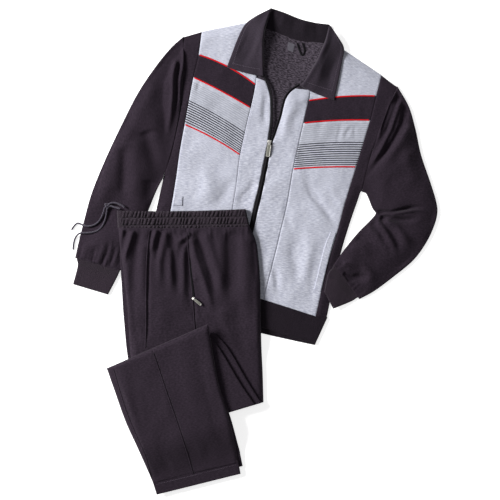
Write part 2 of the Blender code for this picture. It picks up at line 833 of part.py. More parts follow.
def offset_path(path, near, far, place_steps):
    """Sections of a narrow strip beside a path, between two offsets to its left."""
    sections = []
    last = len(path) - 1
    for k in range(place_steps + 1):
        place = last * k / place_steps
        here = interpolated(path, place)
        before, after = interpolated(path, max(place - 0.3, 0)), interpolated(path, min(place + 0.3, last))
        dx, dy = after.x - before.x, after.y - before.y
        length = math.hypot(dx, dy)
        nx, ny = -dy / length, dx / length
        ends = (here.x + nx * near, here.y + ny * near, here.x + nx * far, here.y + ny * far)
        sections.append(Section(*ends, 0))
    return sections


def raised(surface, rise):
    """A surface function moved up."""
    return lambda x, y: surface(x, y) + rise


def strip(name, paint, path, surface, height, near, far, steps, columns=1, lift=0.3):
    """A narrow strip that lies on a surface along a path."""
    sections = offset_path(path, near, far, steps)
    return panel(name, paint, sections, columns, steps, raised(surface, lift + height),
                 under=raised(surface, lift), gaps=(0, 0))


def cells(bm, frame, us, vs, ws, filled):
    """Adds the outer faces of a block shape, given the filled cells of a grid in a local frame."""
    corners = {}

    def corner(i, j, k):
        if (i, j, k) not in corners:
            corners[i, j, k] = bm.verts.new(frame @ Vector((us[i], vs[j], ws[k])))
        return corners[i, j, k]

    sides = (
        ((-1, 0, 0), ((0, 0, 0), (0, 0, 1), (0, 1, 1), (0, 1, 0))),
        ((1, 0, 0), ((1, 0, 0), (1, 1, 0), (1, 1, 1), (1, 0, 1))),
        ((0, -1, 0), ((0, 0, 0), (1, 0, 0), (1, 0, 1), (0, 0, 1))),
        ((0, 1, 0), ((0, 1, 0), (0, 1, 1), (1, 1, 1), (1, 1, 0))),
        ((0, 0, -1), ((0, 0, 0), (0, 1, 0), (1, 1, 0), (1, 0, 0))),
        ((0, 0, 1), ((0, 0, 1), (1, 0, 1), (1, 1, 1), (0, 1, 1))),
    )
    for i, j, k in sorted(filled):
        for (di, dj, dk), face in sides:
            if (i + di, j + dj, k + dk) not in filled:
                bm.faces.new([corner(i + a, j + b, k + c) for a, b, c in face])


def zip_frame(fitting, base, tilt=0.0, rise=0.0):
    """A local frame at a slider: u along the pull, v across it and w up."""
    heading = Matrix.Rotation(math.radians(fitting.heading), 4, "Z")
    turn = heading @ Matrix.Rotation(math.radians(tilt), 4, "Y")
    return Matrix.Translation((fitting.x, fitting.y, base + rise)) @ turn


def slider(name, paint, fitting, base):
    """A zip slider: a plate with two lugs that carry the bar for the pull."""
    half, reach = fitting.width / 2, fitting.length / 2
    bar_low = PIVOT_RISE - BAR_HALF
    us = (-reach, -BAR_HALF, BAR_HALF, reach)
    vs = (-half, -half + 1.2, half - 1.2, half)
    ws = (0.0, 1.4, bar_low, bar_low + 2 * BAR_HALF)
    plate = {(i, j, 0) for i in range(3) for j in range(3)}
    lugs = {(1, j, k) for j in (0, 2) for k in (1, 2)}
    bm = bmesh.new()
    cells(bm, zip_frame(fitting, base), us, vs, ws, plate | lugs | {(1, 1, 2)})
    return finish(name, bm, paint)


def puller(name, paint, fitting, base):
    """The pull of a zip: an eye round the slider's bar and a flat tab with a slot in its neck."""
    eye, rim = BAR_HALF + 0.5, 0.8
    neck = fitting.width / 2 - 1.2 - 0.6
    half = fitting.puller_width / 2
    us = (-eye - rim, -eye, eye, eye + rim, eye + rim + 2.4, fitting.puller_length)
    vs = (-half, -neck, neck, half)
    ws = (-eye - rim, -eye, -0.6, 0.6, eye, eye + rim)
    ring = {(i, 1, k) for i in (0, 1, 2) for k in range(5)} - {(1, 1, k) for k in (1, 2, 3)}
    tab = {(3, 1, 2)} | {(4, j, 2) for j in range(3)}
    bm = bmesh.new()
    cells(bm, zip_frame(fitting, base, PULLER_TILT, PIVOT_RISE), us, vs, ws, ring | tab)
    return finish(name, bm, paint)


def cord(name, paint, route, count):
    """A free stretch of tie cord as a bevelled curve along a smooth route."""
    curve = bpy.data.curves.new(name, "CURVE")
    curve.dimensions = "3D"
    curve.bevel_depth = CORD_DIAMETER / 2 * MM
    curve.bevel_resolution = 2
    curve.use_fill_caps = True
    spline = curve.splines.new("POLY")
    spline.points.add(count - 1)
    for k in range(count):
        point = interpolated(route, k * (len(route) - 1) / (count - 1))
        spline.points[k].co = (point.x * MM, point.y * MM, point.z * MM, 1.0)
    curve.materials.append(paint)
    piece = bpy.data.objects.new(name, curve)
    bpy.context.scene.collection.objects.link(piece)
    return piece


for old in list(bpy.data.objects):
    bpy.data.objects.remove(old, do_unlink=True)

# Cloths and metals
anthracite = material("anthracite_knit", (0.034, 0.029, 0.040), 0.85)
anthracite_rib = material("anthracite_rib", (0.030, 0.026, 0.035), 0.9)
heather = material("heather_grey_knit", (0.55, 0.57, 0.63), 0.9)
striped = material("striped_grey_knit", (0.50, 0.52, 0.58), 0.9)
charcoal = material("inside_charcoal_heather", (0.070, 0.065, 0.080), 0.95)
red = material("red_piping", (0.68, 0.013, 0.022), 0.6)
metal = material("zip_metal", (0.50, 0.49, 0.47), 0.35, 1.0)
tape = material("zip_tape", (0.022, 0.020, 0.026), 0.8)
label_cloth = material("label_cloth", (0.10, 0.10, 0.11), 0.7)

right_armhole, left_armhole = edge_of(RIGHT_SLEEVE[0]), edge_of(LEFT_SLEEVE[0])
right_side_seam, left_side_seam = seam(RIGHT_SIDE_SEAM), seam(LEFT_SIDE_SEAM)
right_placket_seam, left_placket_seam = seam(RIGHT_PLACKET_SEAM), seam(LEFT_PLACKET_SEAM)
right_zip_edge, left_zip_edge = seam(RIGHT_ZIP_EDGE), seam(LEFT_ZIP_EDGE)
left_free_edge = seam(LEFT_SIDE_FREE_EDGE)

ARMHOLE_SPAN = {"left": (RIGHT_SLEEVE[0].left_y, RIGHT_SLEEVE[0].right_y),
                "right": (LEFT_SLEEVE[0].right_y, LEFT_SLEEVE[0].left_y)}


def back_edge(armhole, table, end, clearance):
    """The back's side: the armhole, then the plain edge below it."""
    plain = seam([Line(getattr(row, end + "_x"), getattr(row, end + "_y")) for row in table])
    top_y, low_y = ARMHOLE_SPAN[end]

    def x_at(y):
        return armhole(y) + clearance if low_y < y < top_y else plain(y)

    return x_at


# Jacket back, flat on the surface
panel("jacket_back", charcoal, JACKET_BACK, 13, 15, lambda x, y: WALL, under=lambda x, y: 0.0,
      left=back_edge(right_armhole, JACKET_BACK, "left", 0.8),
      right=back_edge(left_armhole, JACKET_BACK, "right", -0.8), along=across_back)

# Fronts: yoke, dark band, striped band and lower front on each side, with the side panels beside them
for side, table, side_table, outer, inner, armhole in (
    ("right", RIGHT_FRONT, RIGHT_SIDE, right_side_seam, right_placket_seam, right_armhole),
    ("left", LEFT_FRONT, LEFT_SIDE, left_side_seam, left_placket_seam, left_armhole),
):
    edges = {"left": outer, "right": inner} if side == "right" else {"left": inner, "right": outer}
    for part, paint, first, last, steps in (
        ("yoke", heather, YOKE, BAND, 4),
        ("band", anthracite, BAND, STRIPE, 4),
        ("stripe", striped, STRIPE, LOWER, 6),
        ("lower", heather, LOWER, FRONT_END, 10),
    ):
        panel(f"{side}_{part}", paint, table, 8, steps, jacket_top, first, last, **edges)
    end = "left" if side == "right" else "right"
    free_edge = back_edge(armhole, side_table, end, 0.5 if side == "right" else -0.5)
    edges = {"left": free_edge, "right": outer} if side == "right" else {"left": outer, "right": free_edge}
    panel(f"{side}_side", anthracite, side_table, 2, 24, jacket_top, **edges)
    for number, row in enumerate((BAND, STRIPE, LOWER), 1):
        section = table[row]
        start, finish_share = (0.015, 0.99) if side == "right" else (0.01, 0.985)
        path = [Line(*across(section, start + (finish_share - start) * k / 6)) for k in range(7)]
        strip(f"{side}_piping_{number}", red, path, jacket_top, PIPING_HEIGHT,
              -PIPING_WIDTH / 2, PIPING_WIDTH / 2, 9)

# Plackets and zip tapes; above the slider they part round the neck opening
panel("right_placket", heather, RIGHT_PLACKET, 2, 18, jacket_top,
      left=right_placket_seam, right=right_zip_edge)
panel("left_placket", heather, LEFT_PLACKET, 2, 18, jacket_top,
      left=left_zip_edge, right=left_placket_seam)
strip("right_zip_tape", tape, RIGHT_ZIP_EDGE, jacket_top, WALL,
      SEAM_GAP, SEAM_GAP + TAPE_WIDTH, 26, lift=-WALL)
strip("left_zip_tape", tape, LEFT_ZIP_EDGE, jacket_top, WALL,
      -SEAM_GAP - TAPE_WIDTH, -SEAM_GAP, 26, lift=-WALL)

# Pocket welts on the lower fronts
panel("right_pocket_welt", heather, RIGHT_WELT, 2, 3, raised(jacket_top, WELT_HEIGHT + 0.2),
      under=raised(jacket_top, 0.2))
panel("left_pocket_welt", heather, LEFT_WELT, 2, 8, raised(jacket_top, WELT_HEIGHT + 0.2),
      under=raised(jacket_top, 0.2))

# Hem bands
panel("hem_back", anthracite_rib, BACK_HEM, 12, 2, lambda x, y: WALL, under=lambda x, y: 0.0)
panel("hem_right", anthracite_rib, RIGHT_HEM, 8, 2, lambda x, y: HEM_TOP)
panel("hem_left", anthracite_rib, LEFT_HEM, 8, 2, lambda x, y: HEM_TOP)


# Sleeves and cuffs, pressed flat, with their folds on the upper side; the left one bends back onto the jacket
def floor(x, y):
    return 0.0


def left_sleeve_base(x, y):
    """The floor, and the jacket's side edge where the forearm and cuff lie across it."""
    on_jacket = 1 - smooth((x - left_free_edge(y) - 3) / 60)
    return (CROWN + LAYER_GAP) * on_jacket * smooth((LEFT_FOREARM_START - y) / 70)


def sleeve_top(x, y, inset):
    height = 2 * SLEEVE_EDGE_RADIUS + (CROWN - 2 * SLEEVE_EDGE_RADIUS) * smooth(inset / 15)
    height += folds_at(JACKET_FOLDS, x, y) * smooth(inset / 9)
    return max(CLOSED_EDGE + 0.6, min(height, pressed(x, y)))


def cuff_top(x, y, inset):
    return CUFF_HEIGHT


def on_base(base, top):
    return lambda x, y, inset: base(x, y) + top(x, y, inset)


tube("right_sleeve", anthracite, RIGHT_SLEEVE, 13, 9, floor, sleeve_top)
tube("left_sleeve", anthracite, LEFT_SLEEVE, 18, 10, left_sleeve_base, on_base(left_sleeve_base, sleeve_top))
tube("right_cuff", anthracite_rib, RIGHT_CUFF, 3, 6, floor, cuff_top)
tube("left_cuff", anthracite_rib, LEFT_CUFF, 3, 6, left_sleeve_base, on_base(left_sleeve_base, cuff_top))


# Collar: the back stands up from the neck seam, and the wings fold over on the fronts
def collar_back_top(x, y):
    seam_line = [Line(row.left_x, row.left_y) for row in COLLAR_BACK]
    return WALL + (CROWN - WALL) * smooth(distance_to(seam_line, x, y) / 44)


def wing_top(x, y):
    near = min(distance_to([Line(row.right_x, row.right_y) for row in RIGHT_WING], x, y),
               distance_to([Line(row.left_x, row.left_y) for row in LEFT_WING], x, y))
    return CROWN + WING_GAP + WALL + COLLAR_ROLL * (1 - smooth(near / 16))


panel("collar_back", anthracite, COLLAR_BACK, 4, 6, collar_back_top)
panel("collar_wing_right", anthracite, RIGHT_WING, 5, 8, wing_top)
panel("collar_wing_left", anthracite, LEFT_WING, 5, 8, wing_top)
panel("neck_label", label_cloth, NECK_LABEL, 2, 2, lambda x, y: WALL + 1.2, under=lambda x, y: WALL + 0.2)
strip("hanging_loop", anthracite, HANGING_LOOP, floor, 1.4, -2.0, 2.0, 8, lift=WALL + 1.5)

# Zip slider and its pull on the jacket
main_base = jacket_top(MAIN_ZIP.x, MAIN_ZIP.y) + LAYER_GAP
slider("zip_slider", metal, MAIN_ZIP, main_base)
puller("zip_puller", metal, MAIN_ZIP, main_base)


# Waistband of the folded trousers, gathered on its elastic
def waist_top(x, y, inset):
    a, b = WAISTBAND[0], WAISTBAND[-1]
    share = ((x - a.left_x) * (a.right_x - a.left_x) + (y - a.left_y) * (a.right_y - a.left_y)) / chord(a)**2
    gathers = GATHER_HEIGHT / 2 * (1 - math.cos(2 * math.pi * GATHERS * share)) * smooth(inset / 6)
    return CROWN + LAYER_GAP + WAIST_HEIGHT + gathers


def waist_base(x, y):
    return CROWN + LAYER_GAP


tube("waistband", anthracite_rib, WAISTBAND, 1, GATHERS * 3, waist_base, waist_top,
     radius=WAIST_EDGE_RADIUS, wall=WAIST_WALL)

# Upper leg: front and back on the hidden layers under them
panel("thigh_front", anthracite, THIGH_FRONT, 9, 15, thigh_top)
panel("thigh_back", anthracite, THIGH_BACK, 10, 15, thigh_top)
stack("under_thigh", anthracite, UNDER_THIGH, 10, trouser_seat, raised(thigh_form, -WALL - LEG_HOLLOW), 2, 6)

# The length turned back, both legs
stack("turned_back_lower", anthracite, RETURN_LOWER, 6, return_floor, raised(return_floor, FOLDED_LEG), 2, 8)
stack("turned_back_upper", anthracite, RETURN_UPPER, 6, raised(return_floor, FOLDED_LEG + PILE_GAP),
      raised(return_floor, 2 * FOLDED_LEG + PILE_GAP), 2, 8)

# Lower leg and the two hems
panel("shin_front", anthracite, SHIN_FRONT, 5, 13, shin_top)
panel("shin_back", anthracite, SHIN_BACK, 5, 13, shin_top)
stack("under_shin", anthracite, UNDER_SHIN, 13, shin_floor, raised(shin_form, -WALL - SHIN_HOLLOW), 2, 7)
tube("hem_left_leg", anthracite, LEFT_LEG_HEM, 2, 8, lambda x, y: shin_floor(x, y) + HEM_PAIR + LAYER_GAP,
     lambda x, y, inset: shin_floor(x, y) + 2 * HEM_PAIR + LAYER_GAP, radius=HEM_PAIR / 2, wall=WALL)
tube("hem_right_leg", anthracite, RIGHT_LEG_HEM, 2, 8, shin_floor,
     lambda x, y, inset: shin_floor(x, y) + HEM_PAIR, radius=HEM_PAIR / 2, wall=WALL)

# Pocket zip slider and its pull, beside the side seam
pocket_base = thigh_top(POCKET_ZIP.x, POCKET_ZIP.y) + LAYER_GAP
slider("pocket_slider", metal, POCKET_ZIP, pocket_base)
puller("pocket_puller", metal, POCKET_ZIP, pocket_base)

# Tie cord: two stretches from the waistband to the knot, and two free ends
cord("tie_cord_upper", anthracite_rib, TIE_UPPER, 6)
cord("tie_cord_lower", anthracite_rib, TIE_LOWER, 6)
cord("tie_end_upper", anthracite_rib, END_UPPER, 15)
cord("tie_end_lower", anthracite_rib, END_LOWER, 16)

knot_mesh = bmesh.new()
profile = [
    knot_mesh.verts.new((KNOT_RADIUS + 2.6 * math.cos(turn), 0, 2.6 * math.sin(turn)))
    for turn in (2 * math.pi * k / 10 for k in range(10))
]
ring = [knot_mesh.edges.new((profile[k], profile[(k + 1) % 10])) for k in range(10)]
bmesh.ops.spin(knot_mesh, geom=profile + ring, axis=(0, 0, 1), cent=(0, 0, 0), dvec=(0, 0, 0),
               angle=2 * math.pi, steps=14, use_merge=True)
bmesh.ops.translate(knot_mesh, vec=(KNOT.x, KNOT.y, KNOT.z), verts=knot_mesh.verts[:])
finish("tie_knot", knot_mesh, anthracite_rib)
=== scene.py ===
"""Looks of a tracksuit laid flat: a zipped jacket, and its trousers folded over one corner of it.

Lengths in the tables are millimetres in the frame's own axes; laying a piece turns them into metres.
"""

import math
from collections import namedtuple

import bmesh
import bpy
import numpy as np
from mathutils import Matrix, Vector


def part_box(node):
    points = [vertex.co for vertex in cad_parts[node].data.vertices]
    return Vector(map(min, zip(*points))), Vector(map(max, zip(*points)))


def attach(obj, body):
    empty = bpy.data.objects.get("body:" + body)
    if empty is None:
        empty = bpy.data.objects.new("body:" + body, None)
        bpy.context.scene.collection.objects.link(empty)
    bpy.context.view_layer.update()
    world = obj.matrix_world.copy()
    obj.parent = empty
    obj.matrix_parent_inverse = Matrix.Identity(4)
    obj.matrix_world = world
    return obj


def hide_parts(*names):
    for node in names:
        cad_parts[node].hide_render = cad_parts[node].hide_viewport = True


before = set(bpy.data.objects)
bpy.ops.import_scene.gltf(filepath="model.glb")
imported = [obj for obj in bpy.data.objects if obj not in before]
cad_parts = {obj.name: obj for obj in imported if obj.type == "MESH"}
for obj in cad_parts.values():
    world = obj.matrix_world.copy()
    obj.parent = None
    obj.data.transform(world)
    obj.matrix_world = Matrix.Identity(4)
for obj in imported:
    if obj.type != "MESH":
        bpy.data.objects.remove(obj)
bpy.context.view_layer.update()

# Jacket back.
# One panel of brushed sweatshirt knit, lying with its outer face down. Only its inner face shows, inside
# the neck: charcoal loops flecked with lighter fibres.
Section = namedtuple("Section", "left_x left_y right_x right_y bow")
Fold = namedtuple("Fold", "x0 y0 x1 y1 width rise")
Line = namedtuple("Line", "x y")


def path_of(*points):
    """A path in the plan view."""
    return tuple(Line(*point) for point in points)


MM = 0.001
BACK_RISE = 2.4
# Distances from a turned edge of the few points that shape it
EDGE_MARKS = [0.0, 0.7, 1.6, 2.8]
# How far the back reaches up under the collar, and between which shares of its width
NECK_TUCK, NECK_FROM, NECK_TO = 8.0, 0.28, 0.73
SEAM_INSET = 0.12
JACKET_BACK = (
    Section(-171, 510, 340, 392, 1),
    Section(-180, 346, 290, 272, 0.25),
    Section(-220, 176, 253, 144, 0),
    Section(-237, 101, 228, 70, 0),
    Section(-257, 3, 200, -24, 0),
    Section(-269, -62, 171, -162, 0),
)
NECK_RISE = path_of(
    (0, 0), (0.08, 26), (0.3, 64), (0.39, 62), (0.52, 51), (0.65, 57), (0.68, 63),
    (0.92, 20), (1, 0),
)


def linear(code):
    """An sRGB hex colour as the linear values that the nodes take."""
    values = [int(code[k : k + 2], 16) / 255 for k in (0, 2, 4)]
    return (*(v / 12.92 if v <= 0.04045 else ((v + 0.055) / 1.055) ** 2.4 for v in values), 1.0)


def node_in(material, kind, links=(), settings=(), values=()):
    """Adds a node with its settings, its socket values and its incoming links."""
    made = material.node_tree.nodes.new(kind)
    for field, value in dict(settings).items():
        setattr(made, field, value)
    for socket, value in dict(values).items():
        made.inputs[socket].default_value = value
    for socket, source in dict(links).items():
        material.node_tree.links.new(source, made.inputs[socket])
    return made


def blank_material(name):
    """A new material and its shader."""
    made = bpy.data.materials.new(name)
    made.use_nodes = True
    return made, made.node_tree.nodes["Principled BSDF"]


def cloth_finish(name, base, fleck, deep, wale, course, fleck_mix, roughness, sheen, bump, streak,
                 rib=0.35, uneven_share=0.05, specular=0.08):
    """Knitted cloth on a UV map in metres: V-shaped loops, fibres of other colours along the courses."""
    made, shader = blank_material(name)
    link = made.node_tree.links.new
    place = node_in(made, "ShaderNodeUVMap", settings={"uv_map": "cloth"})
    split = node_in(made, "ShaderNodeSeparateXYZ", {0: place.outputs[0]})
    half = node_in(made, "ShaderNodeMath", {0: split.outputs[0]}, {"operation": "PINGPONG"},
                   {1: wale * MM / 2})
    slope = node_in(made, "ShaderNodeMath", {0: half.outputs[0], 2: split.outputs[1]},
                    {"operation": "MULTIPLY_ADD"}, {1: 1.3})
    turns = node_in(made, "ShaderNodeMath", {0: slope.outputs[0]}, {"operation": "MULTIPLY"},
                    {1: 2 * math.pi / (course * MM)})
    loops = node_in(made, "ShaderNodeMath", {0: turns.outputs[0]}, {"operation": "SINE"})
    columns = node_in(made, "ShaderNodeMath", {0: half.outputs[0]}, {"operation": "MULTIPLY"},
                      {1: 2 / (wale * MM)})
    ridges = node_in(made, "ShaderNodeMath", {0: loops.outputs[0], 2: columns.outputs[0]},
                     {"operation": "MULTIPLY_ADD"}, {1: rib})
    streaks = node_in(made, "ShaderNodeMapping", {0: place.outputs[0]}, {"vector_type": "POINT"},
                      {3: (1 / (streak[0] * MM), 1 / (streak[1] * MM), 1)})
    fibres = node_in(made, "ShaderNodeTexNoise", {0: streaks.outputs[0]}, {"noise_dimensions": "2D"},
                     {"Scale": 1.0, "Detail": 3.0, "Roughness": 0.62})
    cloud = node_in(made, "ShaderNodeTexNoise", {0: place.outputs[0]}, {"noise_dimensions": "2D"},
                    {"Scale": 110.0, "Detail": 5.0, "Roughness": 0.7})
    lit = node_in(made, "ShaderNodeValToRGB", {0: fibres.outputs[0]})
    for stop, position, code in zip(lit.color_ramp.elements, (0.36, 0.66), (deep, fleck)):
        stop.position, stop.color = position, linear(code)
    tone = node_in(made, "ShaderNodeMix", {7: lit.outputs[0]}, {"data_type": "RGBA"},
                   {0: fleck_mix, 6: linear(base)})
    uneven = node_in(made, "ShaderNodeMapRange", {0: cloud.outputs[0]},
                     values={1: 0.3, 2: 0.7, 3: 1 - uneven_share, 4: 1 + uneven_share})
    shaded = node_in(made, "ShaderNodeVectorMath", {0: tone.outputs[2], 3: uneven.outputs[0]},
                     {"operation": "SCALE"})
    link(shaded.outputs[0], shader.inputs["Base Color"])
    nap = node_in(made, "ShaderNodeMath", {0: fibres.outputs[0], 2: ridges.outputs[0]},
                  {"operation": "MULTIPLY_ADD"}, {1: 0.5})
    relief = node_in(made, "ShaderNodeBump", {"Height": nap.outputs[0]},
                     values={"Strength": bump, "Distance": 0.0004})
    link(relief.outputs[0], shader.inputs["Normal"])
    shader.inputs["Roughness"].default_value = roughness
    shader.inputs["Specular IOR Level"].default_value = specular
    shader.inputs["Sheen Weight"].default_value = sheen
    shader.inputs["Sheen Roughness"].default_value = 0.5
    return made


# Brushed inner face: matt and uneven. Loops drawn 1.8 mm wide, twice the real ones, which would not show
fleece_inside = cloth_finish("brushed loopback knit, charcoal heather", "2A242B", "655C68", "1B171C",
                             1.8, 1.6, 0.6, 0.95, 0.1, 0.4, (7.0, 1.5), uneven_share=0.1)


def smooth(share):
    """A share from 0 to 1 that leaves each end gently."""
    share = np.clip(share, 0.0, 1.0)
    return share * share * (3 - 2 * share)


def interpolated(rows, place):
    """The row of a table at a fractional place, on a smooth curve through its rows."""
    index = min(int(place), len(rows) - 2)
    share = place - index
    here, following = rows[index], rows[index + 1]
    before = rows[index - 1] if index else [2 * a - b for a, b in zip(here, following)]
    after = rows[index + 2] if index + 2 < len(rows) else [2 * b - a for a, b in zip(here, following)]
    values = []
    for p, a, b, n in zip(before, here, following, after):
        start, end = (b - p) / 2, (n - a) / 2
        bend = (2 * a - 2 * b + start + end) * share**3
        values.append(bend + (3 * b - 3 * a - 2 * start - end) * share**2 + start * share + a)
    return type(here)(*values)


def seam(points):
    """A seam that runs down the layout, as a function that gives its x at a y."""
    spans = list(zip(points, points[1:]))
    slopes = [(b.x - a.x) / (b.y - a.y) for a, b in spans]
    turns = [slopes[0]] + [(a + b) / 2 for a, b in zip(slopes, slopes[1:])] + [slopes[-1]]

    def x_at(y):
        index = 0
        while index < len(spans) - 1 and y < points[index + 1].y:
            index += 1
        a, b = spans[index]
        length = b.y - a.y
        share = (y - a.y) / length
        start, end = turns[index] * length, turns[index + 1] * length
        bend = (2 * a.x - 2 * b.x + start + end) * share**3
        return bend + (3 * b.x - 3 * a.x - 2 * start - end) * share**2 + start * share + a.x

    return x_at


def chord(section):
    """A section's width, straight across."""
    return math.hypot(section.right_x - section.left_x, section.right_y - section.left_y)


def path_length(points):
    return sum(math.dist(a, b) for a, b in zip(points, points[1:]))


def across(section, share):
    """Plan points at shares of the way from the section's left end to its right end."""
    dx, dy = section.right_x - section.left_x, section.right_y - section.left_y
    bow = section.bow * 4 * share * (1 - share) / math.hypot(dx, dy)
    return section.left_x + share * dx - bow * dy, section.left_y + share * dy + bow * dx


def across_back(section, share):
    """The same for the back, whose upper edge follows the shoulders and the neck."""
    rise = np.interp(share, [p.x for p in NECK_RISE], [p.y for p in NECK_RISE])
    under_collar = smooth(np.minimum(share - NECK_FROM, NECK_TO - share) / 0.04)
    rise = section.bow * (rise + NECK_TUCK * under_collar)
    dx, dy = section.right_x - section.left_x, section.right_y - section.left_y
    length = math.hypot(dx, dy)
    return section.left_x + share * dx - rise * dy / length, section.left_y + share * dy + rise * dx / length


def marks(length, spacing, edge):
    """Shares along a length, even but for a few close to each end that shape the turned edge."""
    inner = np.linspace(edge[-1], length - edge[-1], max(int(round(length / spacing)), 2) + 1)
    return np.concatenate([edge[:-1], inner, [length - e for e in reversed(edge[:-1])]]) / length


def cloth_grid(columns, rows):
    """A grid mesh with the column and the row of each of its points."""
    bm = bmesh.new()
    bmesh.ops.create_grid(bm, x_segments=columns - 1, y_segments=rows - 1, size=1)
    grid = np.array([vert.co[:] for vert in bm.verts])
    column = np.rint((grid[:, 0] + 1) / 2 * (columns - 1)).astype(int)
    return bm, column, np.rint((1 - grid[:, 1]) / 2 * (rows - 1)).astype(int)


def move_points(bm, *places):
    """Puts a mesh's points where they belong, from millimetres."""
    for vert, place in zip(bm.verts, np.column_stack(places) * MM):
        vert.co = place


def mesh_from(name, bm):
    mesh = bpy.data.meshes.new(name)
    bm.to_mesh(mesh)
    bm.free()
    return mesh


def shown(name, data):
    """An object in the scene, for a mesh, a lamp or a camera."""
    made = bpy.data.objects.new(name, data)
    bpy.context.scene.collection.objects.link(made)
    return made


def stated(piece, body, nodes):
    """Says which body a piece rides and which solids it stands for."""
    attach(piece, body)
    if nodes:
        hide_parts(*nodes)
    return piece


def cloth_piece(name, bm, material, uvs, *nodes, thickness=0.0, body="cloth", slot="anthracite_knit",
                weld=False):
    """Finishes a cloth mesh: its UV map in metres, its wall, and the solids it stands for."""
    mesh = mesh_from(name, bm)
    layer = mesh.uv_layers.new(name="cloth")
    corner_vertex = np.empty(len(mesh.loops), dtype=np.int64)
    mesh.loops.foreach_get("vertex_index", corner_vertex)
    layer.data.foreach_set("uv", uvs[corner_vertex].astype(np.float32).ravel())
    if weld:
        joined = bmesh.new()
        joined.from_mesh(mesh)
        bmesh.ops.remove_doubles(joined, verts=joined.verts[:], dist=0.02 * MM)
        bmesh.ops.recalc_face_normals(joined, faces=joined.faces[:])
        joined.to_mesh(mesh)
        joined.free()
    mesh.shade_smooth()
    mesh.materials.append(material)
    piece = shown(name, mesh)
    if thickness:
        wall = piece.modifiers.new("wall", "SOLIDIFY")
        wall.thickness, wall.offset, wall.use_rim = thickness * MM, -1.0, True
    return stated(piece, body, nodes)


def laid_panel(name, material, table, surface, *nodes, first=0, last=None, left=None, right=None,
               along=across, spacing=3.0, dip=0.9, rolled="", roll=(5.0, 5.0), slot="anthracite_knit",
               thickness=2.0, held="laid", on=()):
    """A cut piece laid on a surface: its seams are drawn in, and its folded edges roll down."""
    last = len(table) - 1 if last is None else last
    stations = [interpolated(table, first + (last - first) * k / 12) for k in range(13)]
    length = path_length([across(section, 0.5) for section in stations])
    width = sum(chord(interpolated(table, first + (last - first) * k / 6)) for k in range(7)) / 7
    shares, downs = marks(width, spacing, EDGE_MARKS), marks(length, spacing, EDGE_MARKS)
    bm, column, row = cloth_grid(len(shares), len(downs))
    plan = np.empty((len(downs), len(shares), 2))
    widths = np.empty(len(downs))
    for k, down in enumerate(downs):
        section = interpolated(table, first + (last - first) * down)
        if left:
            section = section._replace(left_x=left(section.left_y))
        if right:
            section = section._replace(right_x=right(section.right_y))
        widths[k] = chord(section)
        inset = SEAM_INSET / widths[k]
        plan[k, :, 0], plan[k, :, 1] = along(section, inset + (1 - 2 * inset) * shares)
    x, y = plan[row, column, 0], plan[row, column, 1]
    seamed, turned_down = np.full(len(x), 99.0), np.full(len(x), 99.0)
    for side, distance in (("l", shares[column] * widths[row]), ("r", (1 - shares[column]) * widths[row]),
                           ("t", downs[row] * length), ("b", (1 - downs[row]) * length)):
        if side in rolled:
            turned_down = np.minimum(turned_down, distance)
        else:
            seamed = np.minimum(seamed, distance)
    radius, drop = roll
    round_share = 1 - np.clip(turned_down / radius, 0, 1)
    z = surface(x, y) - dip * np.exp(-((seamed / 1.5) ** 2)) - drop * (1 - np.sqrt(1 - round_share**2))
    move_points(bm, x, y, np.maximum(z, thickness + 0.05))
    bm.normal_update()
    if sum(face.normal.z for face in bm.faces) < 0:
        bmesh.ops.reverse_faces(bm, faces=bm.faces[:])
    uvs = np.stack([shares[column] * widths[row], (1 - downs[row]) * length], axis=1) * MM
    piece = cloth_piece(name, bm, material, uvs, *nodes, slot=slot, thickness=thickness)


RIGHT_SLEEVE = (
    Section(-173, 514, -222, 174, 17),
    Section(-202, 488, -225, 168, 13),
    Section(-238, 444, -230, 159, 9),
    Section(-281, 380, -239, 140, 4),
    Section(-322, 300, -250, 113, 0),
    Section(-360, 219, -262, 82, 0),
    Section(-392, 140, -273, 51, 0),
    Section(-411, 72, -286, 17, 0),
    Section(-424, 20, -304, -19, 0),
    Section(-432, -16, -325, -48, 0),
)
LEFT_SLEEVE = (
    Section(256, 143, 342, 394, 8),
    Section(260, 141, 369, 346, 6),
    Section(266, 138, 385, 291, 3),
    Section(273, 123, 398, 231, 0),
    Section(280, 105, 420, 166, 0),
    Section(286, 96, 434, 120, 0),
    Section(289, 91, 437, 92, 0),
    Section(285, 84, 429, 60, 0),
    Section(272, 70, 410, 20, 0),
    Section(248, 46, 379, -22, 0),
    Section(222, 15, 331, -62, 0),
    Section(201, -13, 285, -96, 0),
    Section(188, -33, 250, -115, 0),
)
# The back's slack inside the neck, and the height in the layout below which it lies flat
SLACK_END = 388
BACK_FOLDS = (
    Fold(186, 510, 104, 330, 42, 6.5),
    Fold(6, 520, 36, 330, 48, 7.0),
    Fold(112, 505, 92, 380, 7, 0.9),
    Fold(36, 500, 46, 380, 9, 1.0),
)


def back_top(x, y):
    """The inner face of the back, raised by its slack where the neck shows it."""
    rise = np.zeros(np.shape(x))
    for fold in BACK_FOLDS:
        share = np.clip((y - fold.y0) / (fold.y1 - fold.y0), 0, 1)
        off = (x - fold.x0 - share * (fold.x1 - fold.x0)) / fold.width
        rise = rise + fold.rise * np.exp(-off * off)
    return BACK_RISE + rise * smooth((y - SLACK_END) / 60) * smooth((520 - y) / 30)


def edge_of(section):
    """A section that runs down the layout, such as an armhole, as a function that gives its x at a y."""
    shares = np.linspace(0, 1, 200)
    x, y = across(section, shares)
    order = np.argsort(y)
    return lambda at: float(np.interp(at, y[order], x[order]))


